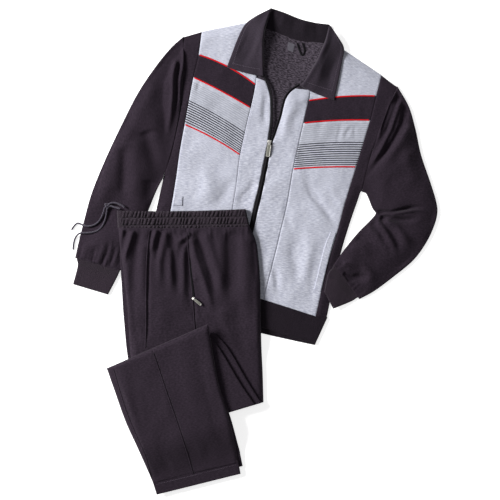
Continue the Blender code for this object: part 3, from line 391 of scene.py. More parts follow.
def side_edge(armhole, table, end, clearance):
    """The free side of a panel: the armhole, then the plain edge below it."""
    plain = seam([Line(getattr(row, end + "_x"), getattr(row, end + "_y")) for row in table])
    span = sorted((armhole.left_y, armhole.right_y))
    curve = edge_of(armhole)
    return lambda y: curve(y) + clearance if span[0] < y < span[1] else plain(y)


laid_panel("jacket_back_cloth", fleece_inside, JACKET_BACK, back_top, "jacket_back",
           left=side_edge(RIGHT_SLEEVE[0], JACKET_BACK, "left", 0.4),
           right=side_edge(LEFT_SLEEVE[0], JACKET_BACK, "right", -0.4),
           along=across_back, spacing=6.0, dip=0.3, slot="inside_charcoal_heather", thickness=2.2)

# Jacket fronts.
# Each front is a heather jersey yoke, a dark band, a striped band and a heather lower part, cut across the
# body and sewn together, with a dark knit side panel. Light cloth that has been worn lies a little uneven.
CLOSED_EDGE, CROWN, ROLL = 4.8, 8.3, 20.0
HEATHER, HEATHER_LIGHT, HEATHER_DEEP = "B6B8C4", "D5D6DF", "9092A4"
ANTHRACITE, ANTHRACITE_LIGHT, ANTHRACITE_DEEP = "282029", "382E39", "1B161C"
STRIPE_DARK = "1B1920"
Stripes = namedtuple("Stripes", "pitch count faint_count dark_share")
STRIPES = {"right": Stripes(5.1, 10, 10, 0.46), "left": Stripes(5.2, 11, 10, 0.46)}
YOKE, BAND, STRIPE, LOWER, FRONT_END = 0, 1, 2, 3, 6
RIGHT_FRONT = (
    Section(-128, 527, -12, 550, 0),
    Section(-135, 471, 1, 399, 7),
    Section(-148, 417, -11, 344, 2),
    Section(-169, 304, -36, 231, 4),
    Section(-190, 171, -45, 159, 0),
    Section(-213, 46, -63, 51, 0),
    Section(-236, -69, -94, -91, 0),
)
LEFT_FRONT = (
    Section(170, 512, 303, 422, 0),
    Section(128, 361, 289, 372, 4),
    Section(117, 307, 276, 314, 3),
    Section(91, 197, 242, 202, 2),
    Section(75, 111, 214, 111, 0),
    Section(51, 10, 184, 5, 0),
    Section(20, -116, 145, -156, 0),
)
RIGHT_SIDE_SEAM = path_of(
    (-128, 527), (-136, 468), (-148, 417), (-161, 348), (-169, 304),
    (-180, 243), (-190, 173), (-202, 101), (-213, 46), (-221, -2), (-236, -69),
)
LEFT_SIDE_SEAM = path_of(
    (303, 421), (290, 371), (276, 314), (268, 288), (245, 212),
    (224, 144), (214, 111), (200, 58), (184, 5), (176, -22),
    (145, -156),
)
RIGHT_PLACKET_SEAM = path_of(
    (-12, 550), (-2, 483), (3, 425), (0, 395), (-5, 368), (-16, 322),
    (-30, 260), (-36, 231), (-45, 159), (-63, 51), (-94, -91),
)
LEFT_PLACKET_SEAM = path_of(
    (170, 512), (151, 454), (135, 399), (129, 368), (120, 327), (103, 252),
    (91, 197), (76, 111), (61, 48), (52, 10), (20, -116),
)
RIGHT_SIDE = (
    Section(-171, 513, -129, 526, 0),
    Section(-166, 464, -136, 464, 0),
    Section(-179, 351, -161, 348, 0),
    Section(-204, 243, -180, 243, 0),
    Section(-220, 176, -189, 173, 0),
    Section(-237, 101, -202, 101, 0),
    Section(-257, 3, -221, -2, 0),
    Section(-269, -62, -236, -69, 0),
)
LEFT_SIDE = (
    Section(304, 420, 339, 393, 0),
    Section(291, 370, 322, 358, 0),
    Section(268, 288, 288, 274, 0),
    Section(245, 212, 269, 209, 0),
    Section(224, 144, 253, 144, 0),
    Section(202, 60, 223, 56, 0),
    Section(176, -21, 200, -26, 0),
    Section(145, -156, 171, -162, 0),
)
JACKET_EDGES = (
    path_of((-220, 176), (-237, 101), (-257, 3), (-269, -62)),
    path_of((253, 144), (223, 56), (200, -26), (171, -162)),
    path_of((-171, 513), (-128, 527), (-12, 550)),
    path_of((170, 512), (303, 422), (340, 392)),
)
TROUSER_REACH = path_of(
    (-339, 106), (-17, 111), (9, 36), (26, -117), (26, -453), (-339, -453),
)
JACKET_FOLDS = (
    Fold(-164, 473, -214, 207, 11, -3.4),
    Fold(-185, 444, -204, 305, 8, 2.6),
    Fold(-202, 416, -221, 267, 9, -2.4),
    Fold(-262, 344, -245, 142, 17, -2.6),
    Fold(-293, 267, -284, 111, 14, 2.4),
    Fold(-315, 224, -312, 111, 13, -2.2),
    Fold(-348, 207, -377, 63, 16, 2.6),
    Fold(-375, -26, -346, 27, 7, 2.2),
    Fold(-346, -40, -329, 10, 7, 2.2),
    Fold(-406, -12, -392, 27, 8, -1.8),
    Fold(340, 377, 283, 238, 8, 3.6),
    Fold(350, 353, 271, 200, 9, -3.4),
    Fold(357, 320, 268, 190, 8, 3.4),
    Fold(362, 262, 268, 161, 10, -3.2),
    Fold(381, 243, 278, 135, 10, 2.8),
    Fold(292, 93, 405, 99, 9, -3.6),
    Fold(300, 82, 396, 77, 9, 4.2),
    Fold(309, 72, 381, 27, 11, -3.0),
    Fold(300, 51, 348, -16, 12, 2.6),
    Fold(266, 17, 300, -50, 12, -2.4),
    Fold(235, -2, 264, -69, 10, -3.0),
    Fold(218, -26, 247, -88, 8, 2.4),
    Fold(-41, 176, -99, 108, 16, -2.0),
    Fold(-104, 200, -132, 108, 18, 2.0),
    Fold(2, 176, -36, 108, 11, -2.4),
    Fold(21, 392, 24, 296, 8, -2.0),
    Fold(98, 368, 64, 272, 12, 3.0),
    Fold(112, 180, 194, 56, 10, -2.6),
    Fold(93, 27, 98, -79, 15, -2.2),
    Fold(132, 70, 122, -69, 17, 2.2),
    Fold(43, -31, 57, -103, 8, -2.2),
)
# Small dimples and pulls that lie between the main folds
JACKET_DIMPLES = (
    Fold(205, 309, 196, 251, 5, -1.2),
    Fold(232, 303, 211, 267, 5, -1.3),
    Fold(239, 303, 237, 274, 4, -1.1),
    Fold(-132, 406, -142, 382, 5, -1.4),
    Fold(-118, 118, -150, 30, 13, -1.3),
    Fold(-70, 60, -112, -60, 14, 1.4),
    Fold(84, 240, 128, 150, 12, 1.3),
    Fold(66, 120, 92, 30, 9, -1.2),
    Fold(148, 20, 128, -120, 11, -1.3),
    Fold(180, 160, 214, 90, 10, 1.3),
    Fold(-60, 470, -92, 412, 14, 1.1),
    Fold(-30, 330, -128, 372, 13, -0.9),
    Fold(236, 360, 262, 300, 9, 1.2),
    Fold(160, 330, 150, 252, 12, -0.9),
)


def away_from(path, x, y):
    """Distance of points from a plan path."""
    nearest = np.full(np.shape(x), np.inf)
    for a, b in zip(path, path[1:]):
        dx, dy = b.x - a.x, b.y - a.y
        share = np.clip(((x - a.x) * dx + (y - a.y) * dy) / (dx * dx + dy * dy), 0, 1)
        nearest = np.minimum(nearest, np.hypot(x - a.x - share * dx, y - a.y - share * dy))
    return nearest


def beyond(outline, x, y):
    """How far points lie outside a convex outline, negative inside it."""
    middle_x, middle_y = np.mean([p.x for p in outline]), np.mean([p.y for p in outline])
    reach = np.full(np.shape(x), -np.inf)
    for a, b in zip(outline, outline[1:] + outline[:1]):
        dx, dy = b.x - a.x, b.y - a.y
        side = ((x - a.x) * dy - (y - a.y) * dx) / math.hypot(dx, dy)
        inward = (middle_x - a.x) * dy - (middle_y - a.y) * dx > 0
        reach = np.maximum(reach, -side if inward else side)
    return reach


# How far a crease winds off its line, how often, and how wide its two flanks are, as shares of its width
WINDING, WIND_RATE, STEEP_FLANK, SOFT_FLANK = 0.22, 7.0, 0.82, 1.15


def creases(table, x, y):
    """Summed rise of soft troughs and ridges, each a little winding and steeper on one flank."""
    rise = np.zeros(np.shape(x))
    for number, fold in enumerate(table):
        dx, dy = fold.x1 - fold.x0, fold.y1 - fold.y0
        length = math.hypot(dx, dy)
        along = ((x - fold.x0) * dx + (y - fold.y0) * dy) / length**2
        off = ((x - fold.x0) * dy - (y - fold.y0) * dx) / length
        off = off + WINDING * fold.width * np.sin(along * WIND_RATE + number)
        width = fold.width * np.where(off > 0, STEEP_FLANK, SOFT_FLANK)
        ends = smooth(np.minimum(along + 0.1, 1.1 - along) / 0.5)
        rise = rise + fold.rise * np.exp(-((off / width) ** 2)) * ends
    return rise


# Direction and length of the slow waves that any laid cloth keeps, in millimetres
WAVES = (
    (0.9, 0.4, 71), (-0.5, 0.85, 97), (0.2, 1.0, 123), (1.0, -0.3, 58), (0.6, -0.8, 44), (-0.95, -0.3, 151),
)


def rumple(x, y, amount):
    """Slow uneven waves of laid cloth, as high as the amount."""
    rise = np.zeros(np.shape(x))
    for number, (a, b, length) in enumerate(WAVES):
        turn = 2 * math.pi * (a * x + b * y) / length
        drift = 1.7 * np.sin(2 * math.pi * (b * x - a * y) / (2.3 * length) + number)
        rise = rise + np.sin(turn + drift + 2.1 * number) * length / 60
    return amount * rise / 4.0


def pressed(x, y):
    """The height that the trousers leave to the jacket under and beside them."""
    return CROWN + 0.45 * np.maximum(beyond(TROUSER_REACH, x, y), 0.0)


FOLD_SCALE, DIMPLE_SCALE, FRONT_RUMPLE = 1.45, 1.2, 0.9


def jacket_top(x, y):
    """The outer face of the jacket's front."""
    edge = np.min([away_from(path, x, y) for path in JACKET_EDGES], axis=0)
    rise = smooth(edge / ROLL)
    folds = creases(JACKET_FOLDS, x, y) * FOLD_SCALE + creases(JACKET_DIMPLES, x, y) * DIMPLE_SCALE
    folds = folds + rumple(x, y, FRONT_RUMPLE)
    return np.clip(CLOSED_EDGE + (CROWN - CLOSED_EDGE) * rise + folds * rise, CLOSED_EDGE, pressed(x, y))


def lay_over(material, colour, factor):
    """Prints a colour over a cloth's own one, where a factor says."""
    shader = material.node_tree.nodes["Principled BSDF"]
    under = shader.inputs["Base Color"].links[0].from_socket
    mixed = node_in(material, "ShaderNodeMix", {0: factor, 6: under}, {"data_type": "RGBA"},
                    {7: linear(colour)})
    material.node_tree.links.new(mixed.outputs[2], shader.inputs["Base Color"])


def yarn_stripes(material, pitch, low, high, dark_share, strength, colour):
    """Knitted-in stripes between two heights of the cloth's UV map, counted up from its lower seam."""
    place = node_in(material, "ShaderNodeUVMap", settings={"uv_map": "cloth"})
    split = node_in(material, "ShaderNodeSeparateXYZ", {0: place.outputs[0]})
    rows = node_in(material, "ShaderNodeMath", {0: split.outputs[1]}, {"operation": "MULTIPLY"},
                   {1: 1 / (pitch * MM)})
    repeat = node_in(material, "ShaderNodeMath", {0: rows.outputs[0]}, {"operation": "FRACT"})
    line = node_in(material, "ShaderNodeMapRange", {0: repeat.outputs[0]},
                   {"interpolation_type": "SMOOTHSTEP"},
                   {1: dark_share + 0.06, 2: dark_share - 0.06, 3: 0.0, 4: strength})
    above = node_in(material, "ShaderNodeMath", {0: rows.outputs[0]}, {"operation": "GREATER_THAN"}, {1: low})
    below = node_in(material, "ShaderNodeMath", {0: rows.outputs[0]}, {"operation": "LESS_THAN"}, {1: high})
    between = node_in(material, "ShaderNodeMath", {0: above.outputs[0], 1: below.outputs[0]},
                      {"operation": "MULTIPLY"})
    shown = node_in(material, "ShaderNodeMath", {0: line.outputs[0], 1: between.outputs[0]},
                    {"operation": "MULTIPLY"})
    lay_over(material, colour, shown.outputs[0])


# Single jersey of mixed light and grey fibres: matt, with small cloudy flecks along the courses
heather_jersey = cloth_finish("single jersey, light heather grey", HEATHER, HEATHER_LIGHT, HEATHER_DEEP,
                              1.7, 1.5, 0.5, 0.92, 0.04, 0.4, (11.0, 1.7))
# Brushed interlock: matt and dark with a violet cast, its short nap catching light at a low angle
anthracite_knit = cloth_finish("brushed interlock knit, anthracite", ANTHRACITE, ANTHRACITE_LIGHT,
                               ANTHRACITE_DEEP, 1.6, 1.4, 0.4, 0.9, 0.05, 0.45, (6.0, 2.4))
# The same jersey with dark yarn stripes, and faint ones above them
striped_jersey = {}
for side, stripes in STRIPES.items():
    striped_jersey[side] = cloth_finish(f"striped single jersey, {side} front", "B4B6C0", "C8CAD4", "9698A6",
                                        1.7, 1.5, 0.4, 0.92, 0.04, 0.4, (11.0, 1.7))
    last_dark, last_faint = stripes.count + 0.6, stripes.count + stripes.faint_count
    for low, high, share, strength in (
        (0.6, last_dark, stripes.dark_share, 0.98),
        (last_dark, last_faint, 0.45, 0.26),
    ):
        yarn_stripes(striped_jersey[side], stripes.pitch, low, high, share, strength, STRIPE_DARK)

right_side_seam, left_side_seam = seam(RIGHT_SIDE_SEAM), seam(LEFT_SIDE_SEAM)
right_placket_seam, left_placket_seam = seam(RIGHT_PLACKET_SEAM), seam(LEFT_PLACKET_SEAM)
for side, table, side_table, outer, inner, armhole, far_end in (
    ("right", RIGHT_FRONT, RIGHT_SIDE, right_side_seam, right_placket_seam, RIGHT_SLEEVE[0], "left"),
    ("left", LEFT_FRONT, LEFT_SIDE, left_side_seam, left_placket_seam, LEFT_SLEEVE[0], "right"),
):
    seams = {"left": outer, "right": inner} if side == "right" else {"left": inner, "right": outer}
    for part, cloth, slot, first, last in (
        ("yoke", heather_jersey, "heather_grey_knit", YOKE, BAND),
        ("band", anthracite_knit, "anthracite_knit", BAND, STRIPE),
        ("stripe", striped_jersey[side], "striped_grey_knit", STRIPE, LOWER),
        ("lower", heather_jersey, "heather_grey_knit", LOWER, FRONT_END),
    ):
        laid_panel(f"{side}_{part}_cloth", cloth, table, jacket_top, f"{side}_{part}", first=first,
                   last=last, slot=slot, rolled="t" if part == "yoke" else "", roll=(5.0, 2.4),
                   on=["jacket_back"], **seams)
    clear = 0.3 if side == "right" else -0.3
    free = side_edge(armhole, side_table, far_end, clear)
    seams = {"left": free, "right": outer} if side == "right" else {"left": outer, "right": free}
    laid_panel(f"{side}_side_cloth", anthracite_knit, side_table, jacket_top, f"{side}_side",
               on=["jacket_back"], **seams)


# Piping.
# A bias-cut red satin strip folded over a filler cord and caught in each seam across the fronts. It stands a
# little proud of both cloths and takes a narrow highlight.
PIPING_HALF_WIDTH, PIPING_HALF_HEIGHT = 1.75, 1.15


def dense(points, step):
    """Points at even steps along a smooth curve through a few given ones."""
    count = len(points)
    places = [k * (count - 1) / (40 * count) for k in range(40 * count + 1)]
    fine = np.array([tuple(interpolated(points, place)) for place in places])
    run = np.concatenate([[0], np.cumsum(np.linalg.norm(np.diff(fine, axis=0), axis=1))])
    even = np.linspace(0, run[-1], max(int(round(run[-1] / step)), 2) + 1)
    return np.stack([np.interp(even, run, fine[:, k]) for k in range(fine.shape[1])], axis=1)


def on_surface(points, surface, lift):
    """Plan points lifted onto a surface."""
    return np.column_stack([points[:, 0], points[:, 1], surface(points[:, 0], points[:, 1]) + lift])


def tube_along(name, material, path, half_width, half_height, *nodes, sides=10, slot="anthracite_knit",
               looped=False, relief=None):
    """A cord or a narrow strip along a path, with rounded ends unless it is looped."""
    run = np.concatenate([[0], np.cumsum(np.linalg.norm(np.diff(path, axis=0), axis=1))])
    if not looped:
        near = half_width * np.array([0.0, 0.08, 0.3, 0.65])
        inner = run[(run > half_width) & (run < run[-1] - half_width)]
        even = np.concatenate([near, inner, run[-1] - near[::-1]])
        path = np.stack([np.interp(even, run, path[:, k]) for k in range(3)], axis=1)
        run = even
    ahead = np.gradient(path, axis=0)
    if looped:
        ahead[0] = ahead[-1] = path[1] - path[-2]
    ahead /= np.linalg.norm(ahead, axis=1)[:, None]
    aside = np.cross(ahead, (0.0, 0.0, 1.0))
    aside /= np.linalg.norm(aside, axis=1)[:, None]
    upward = np.cross(aside, ahead)
    bm, column, row = cloth_grid(sides + 1, len(path))
    turn = 2 * math.pi * column / sides
    inset = 1 - np.clip(np.minimum(run, run[-1] - run) / half_width, 0, 1)
    taper = np.ones(len(run)) if looped else np.sqrt(1 - inset**2)
    scale = taper[row] * (relief(turn, run[row]) if relief else 1.0)
    points = (path[row] + aside[row] * (np.cos(turn) * half_width * scale)[:, None]
              + upward[row] * (np.sin(turn) * half_height * scale)[:, None])
    move_points(bm, points)
    uvs = np.stack([column / sides * 2 * math.pi * half_width, run[row]], axis=1) * MM
    return cloth_piece(name, bm, material, uvs, *nodes, slot=slot, weld=True)


# Polyester satin: smooth, saturated, with a soft highlight along its crown
piping_satin = cloth_finish("polyester satin piping, red", "CC0914", "E21A25", "A40812", 1.0, 0.8, 0.25,
                            0.6, 0.02, 0.15, (3.0, 0.8), specular=0.15)
for side, table, ends in (("right", RIGHT_FRONT, (0.012, 0.99)), ("left", LEFT_FRONT, (0.01, 0.988))):
    for number, place in enumerate((BAND, STRIPE, LOWER), 1):
        points = [Line(*across(table[place], ends[0] + (ends[1] - ends[0]) * k / 6)) for k in range(7)]
        path = on_surface(dense(points, 2.5), jacket_top, 0.15)
        tube_along(f"{side}_piping_{number}_satin", piping_satin, path, PIPING_HALF_WIDTH, PIPING_HALF_HEIGHT,
                   f"{side}_piping_{number}", slot="red_piping")


# Stitching on the fronts.
# Polyester lockstitch, two rows beside each placket seam and one beside each zip edge. The thread is drawn
# about twice as thick as it is, or it would not show at arm's length.
STITCH_LENGTH, STITCH_GAP, STITCH_HALF_WIDTH, STITCH_HALF_HEIGHT, STITCH_SINK = 2.8, 1.0, 0.5, 0.45, 0.1
RIGHT_ZIP_EDGE = path_of(
    (14, 425), (27, 401), (35, 375), (37, 344), (37, 315), (33, 284),
    (29, 255), (19, 207), (9, 156), (-4, 104), (-17, 48),
    (-34, -21), (-52, -98),
)
LEFT_ZIP_EDGE = path_of(
    (108, 397), (88, 384), (75, 368), (68, 346), (63, 324), (51, 288),
    (40, 255), (30, 207), (20, 156), (8, 104), (-5, 48),
    (-23, -26), (-41, -100),
)


def thread_finish(name, colour, light, roughness=0.6, specular=0.5):
    """Twisted sewing thread: smooth, with fine cross bands of the twist."""
    made, shader = blank_material(name)
    place = node_in(made, "ShaderNodeTexCoord")
    twist = node_in(made, "ShaderNodeTexNoise", {0: place.outputs["Object"]},
                    values={"Scale": 900.0, "Detail": 2.0})
    tone = node_in(made, "ShaderNodeMix", {0: twist.outputs[0]}, {"data_type": "RGBA"},
                   {6: linear(colour), 7: linear(light)})
    made.node_tree.links.new(tone.outputs[2], shader.inputs["Base Color"])
    shader.inputs["Roughness"].default_value = roughness
    shader.inputs["Specular IOR Level"].default_value = specular
    return made


def stitched(name, thread, points, surface, slot):
    """A row of stitches along plan points, each half sunk in the cloth."""
    path = dense([Line(*p) for p in points], STITCH_LENGTH + STITCH_GAP)
    middle = (path[1:] + path[:-1]) / 2
    heading = np.arctan2(np.diff(path[:, 1]), np.diff(path[:, 0]))
    rise = surface(path[:, 0], path[:, 1])
    slope = np.arctan2(np.diff(rise), STITCH_LENGTH + STITCH_GAP)
    height = surface(middle[:, 0], middle[:, 1]) - STITCH_SINK
    bm = bmesh.new()
    size = Matrix.Diagonal((STITCH_LENGTH / 2, STITCH_HALF_WIDTH, STITCH_HALF_HEIGHT, 1.0))
    for (x, y), z, turn, tilt in zip(middle, height, heading, slope):
        lie = Matrix.Rotation(turn, 4, "Z") @ Matrix.Rotation(-tilt, 4, "Y")
        bmesh.ops.create_icosphere(bm, subdivisions=1, radius=1.0,
                                   matrix=Matrix.Scale(MM, 4) @ Matrix.Translation((x, y, z)) @ lie @ size)
    return joined_trim(name, bm, thread, slot)


def joined_trim(name, bm, material, slot, *nodes, body="cloth", sharp=None):
    """Finishes a hard or very small trim as one mesh."""
    mesh = mesh_from(name, bm)
    mesh.shade_smooth()
    if sharp:
        mesh.set_sharp_from_angle(angle=math.radians(sharp))
    mesh.materials.append(material)
    return stated(shown(name, mesh), body, nodes)


right_zip_edge, left_zip_edge = seam(RIGHT_ZIP_EDGE), seam(LEFT_ZIP_EDGE)
grey_thread = thread_finish("sewing thread, mid grey", "9092A0", "A6A8B4")
dark_thread = thread_finish("sewing thread, charcoal", "141216", "2A272E")
for name, edge, offset, top_y, low_y in (
    ("right_placket_stitch_outer", right_placket_seam, 2.0, 385, -86),
    ("right_placket_stitch_inner", right_placket_seam, 8.0, 380, -86),
    ("right_zip_stitch", right_zip_edge, -2.6, 392, -92),
    ("left_placket_stitch_outer", left_placket_seam, -2.0, 366, -108),
    ("left_placket_stitch_inner", left_placket_seam, -8.0, 362, -106),
    ("left_zip_stitch", left_zip_edge, 2.6, 350, -94),
):
    points = [(edge(y) + offset, y) for y in np.linspace(top_y, low_y, 24)]
    stitched(name, grey_thread, points, jacket_top, "heather_grey_knit")


# Plackets and zip.
# A strip of the heather jersey faces each side of the zip, folded back beside the teeth. The zip is a woven
# tape with a moulded row of teeth, closed up to its slider; above it the two sides part round the neck.
RIGHT_PLACKET = (
    Section(6, 416, 21, 408, 0),
    Section(0, 395, 31, 388, 0),
    Section(-5, 368, 36, 360, 0),
    Section(-16, 322, 37, 315, 0),
    Section(-30, 260, 29, 255, 0),
    Section(-45, 159, 9, 156, 0),
    Section(-63, 51, -17, 48, 0),
    Section(-94, -91, -52, -98, 0),
)
LEFT_PLACKET = (
    Section(103, 390, 131, 386, 0),
    Section(83, 380, 130, 372, 0),
    Section(71, 358, 127, 356, 0),
    Section(63, 324, 120, 324, 0),
    Section(40, 255, 103, 252, 0),
    Section(20, 159, 84, 159, 0),
    Section(-5, 51, 62, 48, 0),
    Section(-41, -100, 20, -116, 0),
)
TAPE_HALF_WIDTH = 2.1
TOOTH_PITCH, TOOTH_HALF_LENGTH, TOOTH_HALF_WIDTH, TOOTH_HALF_HEIGHT = 2.6, 0.85, 1.7, 0.8
SLIDER_Y = 258
# Where the left placket rolls over at its upper end
PLACKET_ROLL = (
    Fold(70, 352, 138, 374, 12, 2.8),
    Fold(90, 380, 62, 300, 9, 1.2),
    Fold(30, 410, 40, 300, 8, -1.6),
)


def placket_top(x, y):
    """The fronts' outer face, with the waves that a zip puts into the cloth beside it."""
    beside = sum(np.exp(-((away_from(edge, x, y) / 16) ** 2)) for edge in (RIGHT_ZIP_EDGE, LEFT_ZIP_EDGE))
    waves = 0.55 * np.sin(y / 6.8 + 1.4 * np.sin(y / 31)) * beside * smooth((300 - y) / 40)
    return jacket_top(x, y) + waves + creases(PLACKET_ROLL, x, y)


laid_panel("right_placket_cloth", heather_jersey, RIGHT_PLACKET, placket_top, "right_placket", spacing=2.2,
           left=right_placket_seam, right=right_zip_edge, rolled="rt", roll=(3.0, 1.4), on=["jacket_back"],
           slot="heather_grey_knit")
laid_panel("left_placket_cloth", heather_jersey, LEFT_PLACKET, placket_top, "left_placket", spacing=2.2,
           left=left_zip_edge, right=left_placket_seam, rolled="lt", roll=(4.0, 2.4), on=["jacket_back"],
           slot="heather_grey_knit")
# Woven tape: dense, matt and black
tape_weave = cloth_finish("woven polyester tape, black", "121014", "1E1B21", "0B0A0D", 0.9, 0.9, 0.3, 0.8,
                          0.1, 0.4, (2.0, 0.8))
# Moulded acetal teeth: near black, with a low gloss on each crown
tooth_acetal = thread_finish("moulded acetal, black", "0C0B0E", "17151A", specular=0.2)


def zip_teeth(name, centres, heading, side):
    """A row of moulded teeth, one small block for each."""
    bm = bmesh.new()
    size = Matrix.Diagonal((TOOTH_HALF_LENGTH * 2, TOOTH_HALF_WIDTH * 2, TOOTH_HALF_HEIGHT * 2, 1.0))
    for (x, y, z), turn in zip(centres, heading):
        lie = Matrix.Translation((x, y, z)) @ Matrix.Rotation(turn, 4, "Z") @ Matrix.Translation((0, side, 0))
        bmesh.ops.create_cube(bm, size=1.0, matrix=Matrix.Scale(MM, 4) @ lie @ size)
    return joined_trim(name, bm, tooth_acetal, "zip_tape")


for side, table, sign in (("right", RIGHT_ZIP_EDGE, 1), ("left", LEFT_ZIP_EDGE, -1)):
    edge_path = dense(table, 2.5)
    ahead = np.gradient(edge_path, axis=0)
    ahead /= np.linalg.norm(ahead, axis=1)[:, None]
    aside = np.column_stack([-ahead[:, 1], ahead[:, 0]]) * sign
    tape_path = edge_path + aside * (TAPE_HALF_WIDTH + 0.4)
    tube_along(f"{side}_zip_tape_weave", tape_weave, on_surface(tape_path, jacket_top, -0.5),
               TAPE_HALF_WIDTH, 0.7, f"{side}_zip_tape", sides=8, slot="zip_tape")
    open_part = edge_path[:, 1] > SLIDER_Y + 5
    row_points = (edge_path + aside * (2 * TAPE_HALF_WIDTH))[open_part][::3]
    row_path = dense([Line(*p) for p in row_points], TOOTH_PITCH)
    heading = np.arctan2(*np.gradient(row_path, axis=0).T[::-1])
    zip_teeth(f"{side}_open_teeth", on_surface(row_path, jacket_top, 0.35), heading, 0.0)

closed_line = [
    Line((right_zip_edge(y) + left_zip_edge(y)) / 2, y) for y in np.linspace(SLIDER_Y - 8, -97, 30)
]
closed_path = dense(closed_line, TOOTH_PITCH / 2)
closed_heading = np.arctan2(*np.gradient(closed_path, axis=0).T[::-1])
for side, start, sign in (("right", 0, -1), ("left", 1, 1)):
    zip_teeth(f"{side}_closed_teeth", on_surface(closed_path, jacket_top, 0.35)[start::2],
              closed_heading[start::2], sign * 0.7)


# Zip sliders and pulls.
# Die-cast zinc, brushed and dulled: a waisted plate with two lugs and a bar, and a pull whose eye turns on
# that bar. The pull is a rounded frame with an olive enamel inlay.
Zip = namedtuple("Zip", "node body x y heading length width puller_length puller_width")
ZIPS = (
    Zip("zip", "main_pull", 34, 260, -98.0, 12.0, 9.0, 34.0, 9.5),
    Zip("pocket", "pocket_pull", -147, -114, -39.0, 9.0, 6.5, 22.0, 6.0),
)
PIVOT_RISE, BAR_RADIUS, EYE_RADIUS, EYE_RIM, PULLER_TILT = 4.6, 0.7, 1.2, 0.8, 5.5
TAB_HALF_HEIGHT = 0.6


def cast_zinc(name, tone, bright, dark, roughness):
    """Brushed die-cast zinc: fine scratches along the pull, and dull patches where fingers rub it."""
    made, shader = blank_material(name)
    place = node_in(made, "ShaderNodeTexCoord")
    grain = node_in(made, "ShaderNodeMapping", {0: place.outputs["Object"]},
                    values={3: (2600.0, 320.0, 900.0)})
    lines = node_in(made, "ShaderNodeTexNoise", {0: grain.outputs[0]}, values={"Scale": 1.0, "Detail": 3.0})
    patch = node_in(made, "ShaderNodeTexNoise", {0: place.outputs["Object"]},
                    values={"Scale": 260.0, "Detail": 4.0})
    tones = node_in(made, "ShaderNodeValToRGB", {0: lines.outputs[0]})
    for stop, position, code in zip(tones.color_ramp.elements, (0.3, 0.7), (dark, bright)):
        stop.position, stop.color = position, linear(code)
    mixed = node_in(made, "ShaderNodeMix", {0: patch.outputs[0], 6: tones.outputs[0]},
                    {"data_type": "RGBA"}, {7: linear(tone)})
    rub = node_in(made, "ShaderNodeMapRange", {0: patch.outputs[0]},
                  values={1: 0.3, 2: 0.7, 3: roughness - 0.08, 4: roughness + 0.12})
    relief = node_in(made, "ShaderNodeBump", {"Height": lines.outputs[0]},
                     values={"Strength": 0.25, "Distance": 0.0001})
    made.node_tree.links.new(mixed.outputs[2], shader.inputs["Base Color"])
    made.node_tree.links.new(rub.outputs[0], shader.inputs["Roughness"])
    made.node_tree.links.new(relief.outputs[0], shader.inputs["Normal"])
    shader.inputs["Metallic"].default_value = 0.8
    return made


def block(bm, matrix, low, high, bevel=0.0, taper=1.0):
    """A block between two corners in a local frame, with its edges rounded."""
    size = [b - a for a, b in zip(low, high)]
    made = bmesh.ops.create_cube(bm, size=1.0)["verts"]
    bmesh.ops.scale(bm, vec=size, verts=made)
    for vert in made:
        if vert.co.x > 0:
            vert.co.y *= taper
    bmesh.ops.translate(bm, vec=[(a + b) / 2 for a, b in zip(low, high)], verts=made)
    if bevel:
        edges = dict.fromkeys(edge for vert in made for edge in vert.link_edges)
        rounded = bmesh.ops.bevel(bm, geom=list(edges), offset=bevel, offset_type="OFFSET", segments=3,
                                  profile=0.5, affect="EDGES", clamp_overlap=True, material=-1)
        kept = [vert for vert in made if vert.is_valid]
        made = list(dict.fromkeys([vert for face in rounded["faces"] for vert in face.verts] + kept))
    bmesh.ops.transform(bm, matrix=matrix, verts=made)


brushed_zinc = cast_zinc("brushed die-cast zinc", "D2D0CA", "F4F2EC", "A19D94", 0.4)
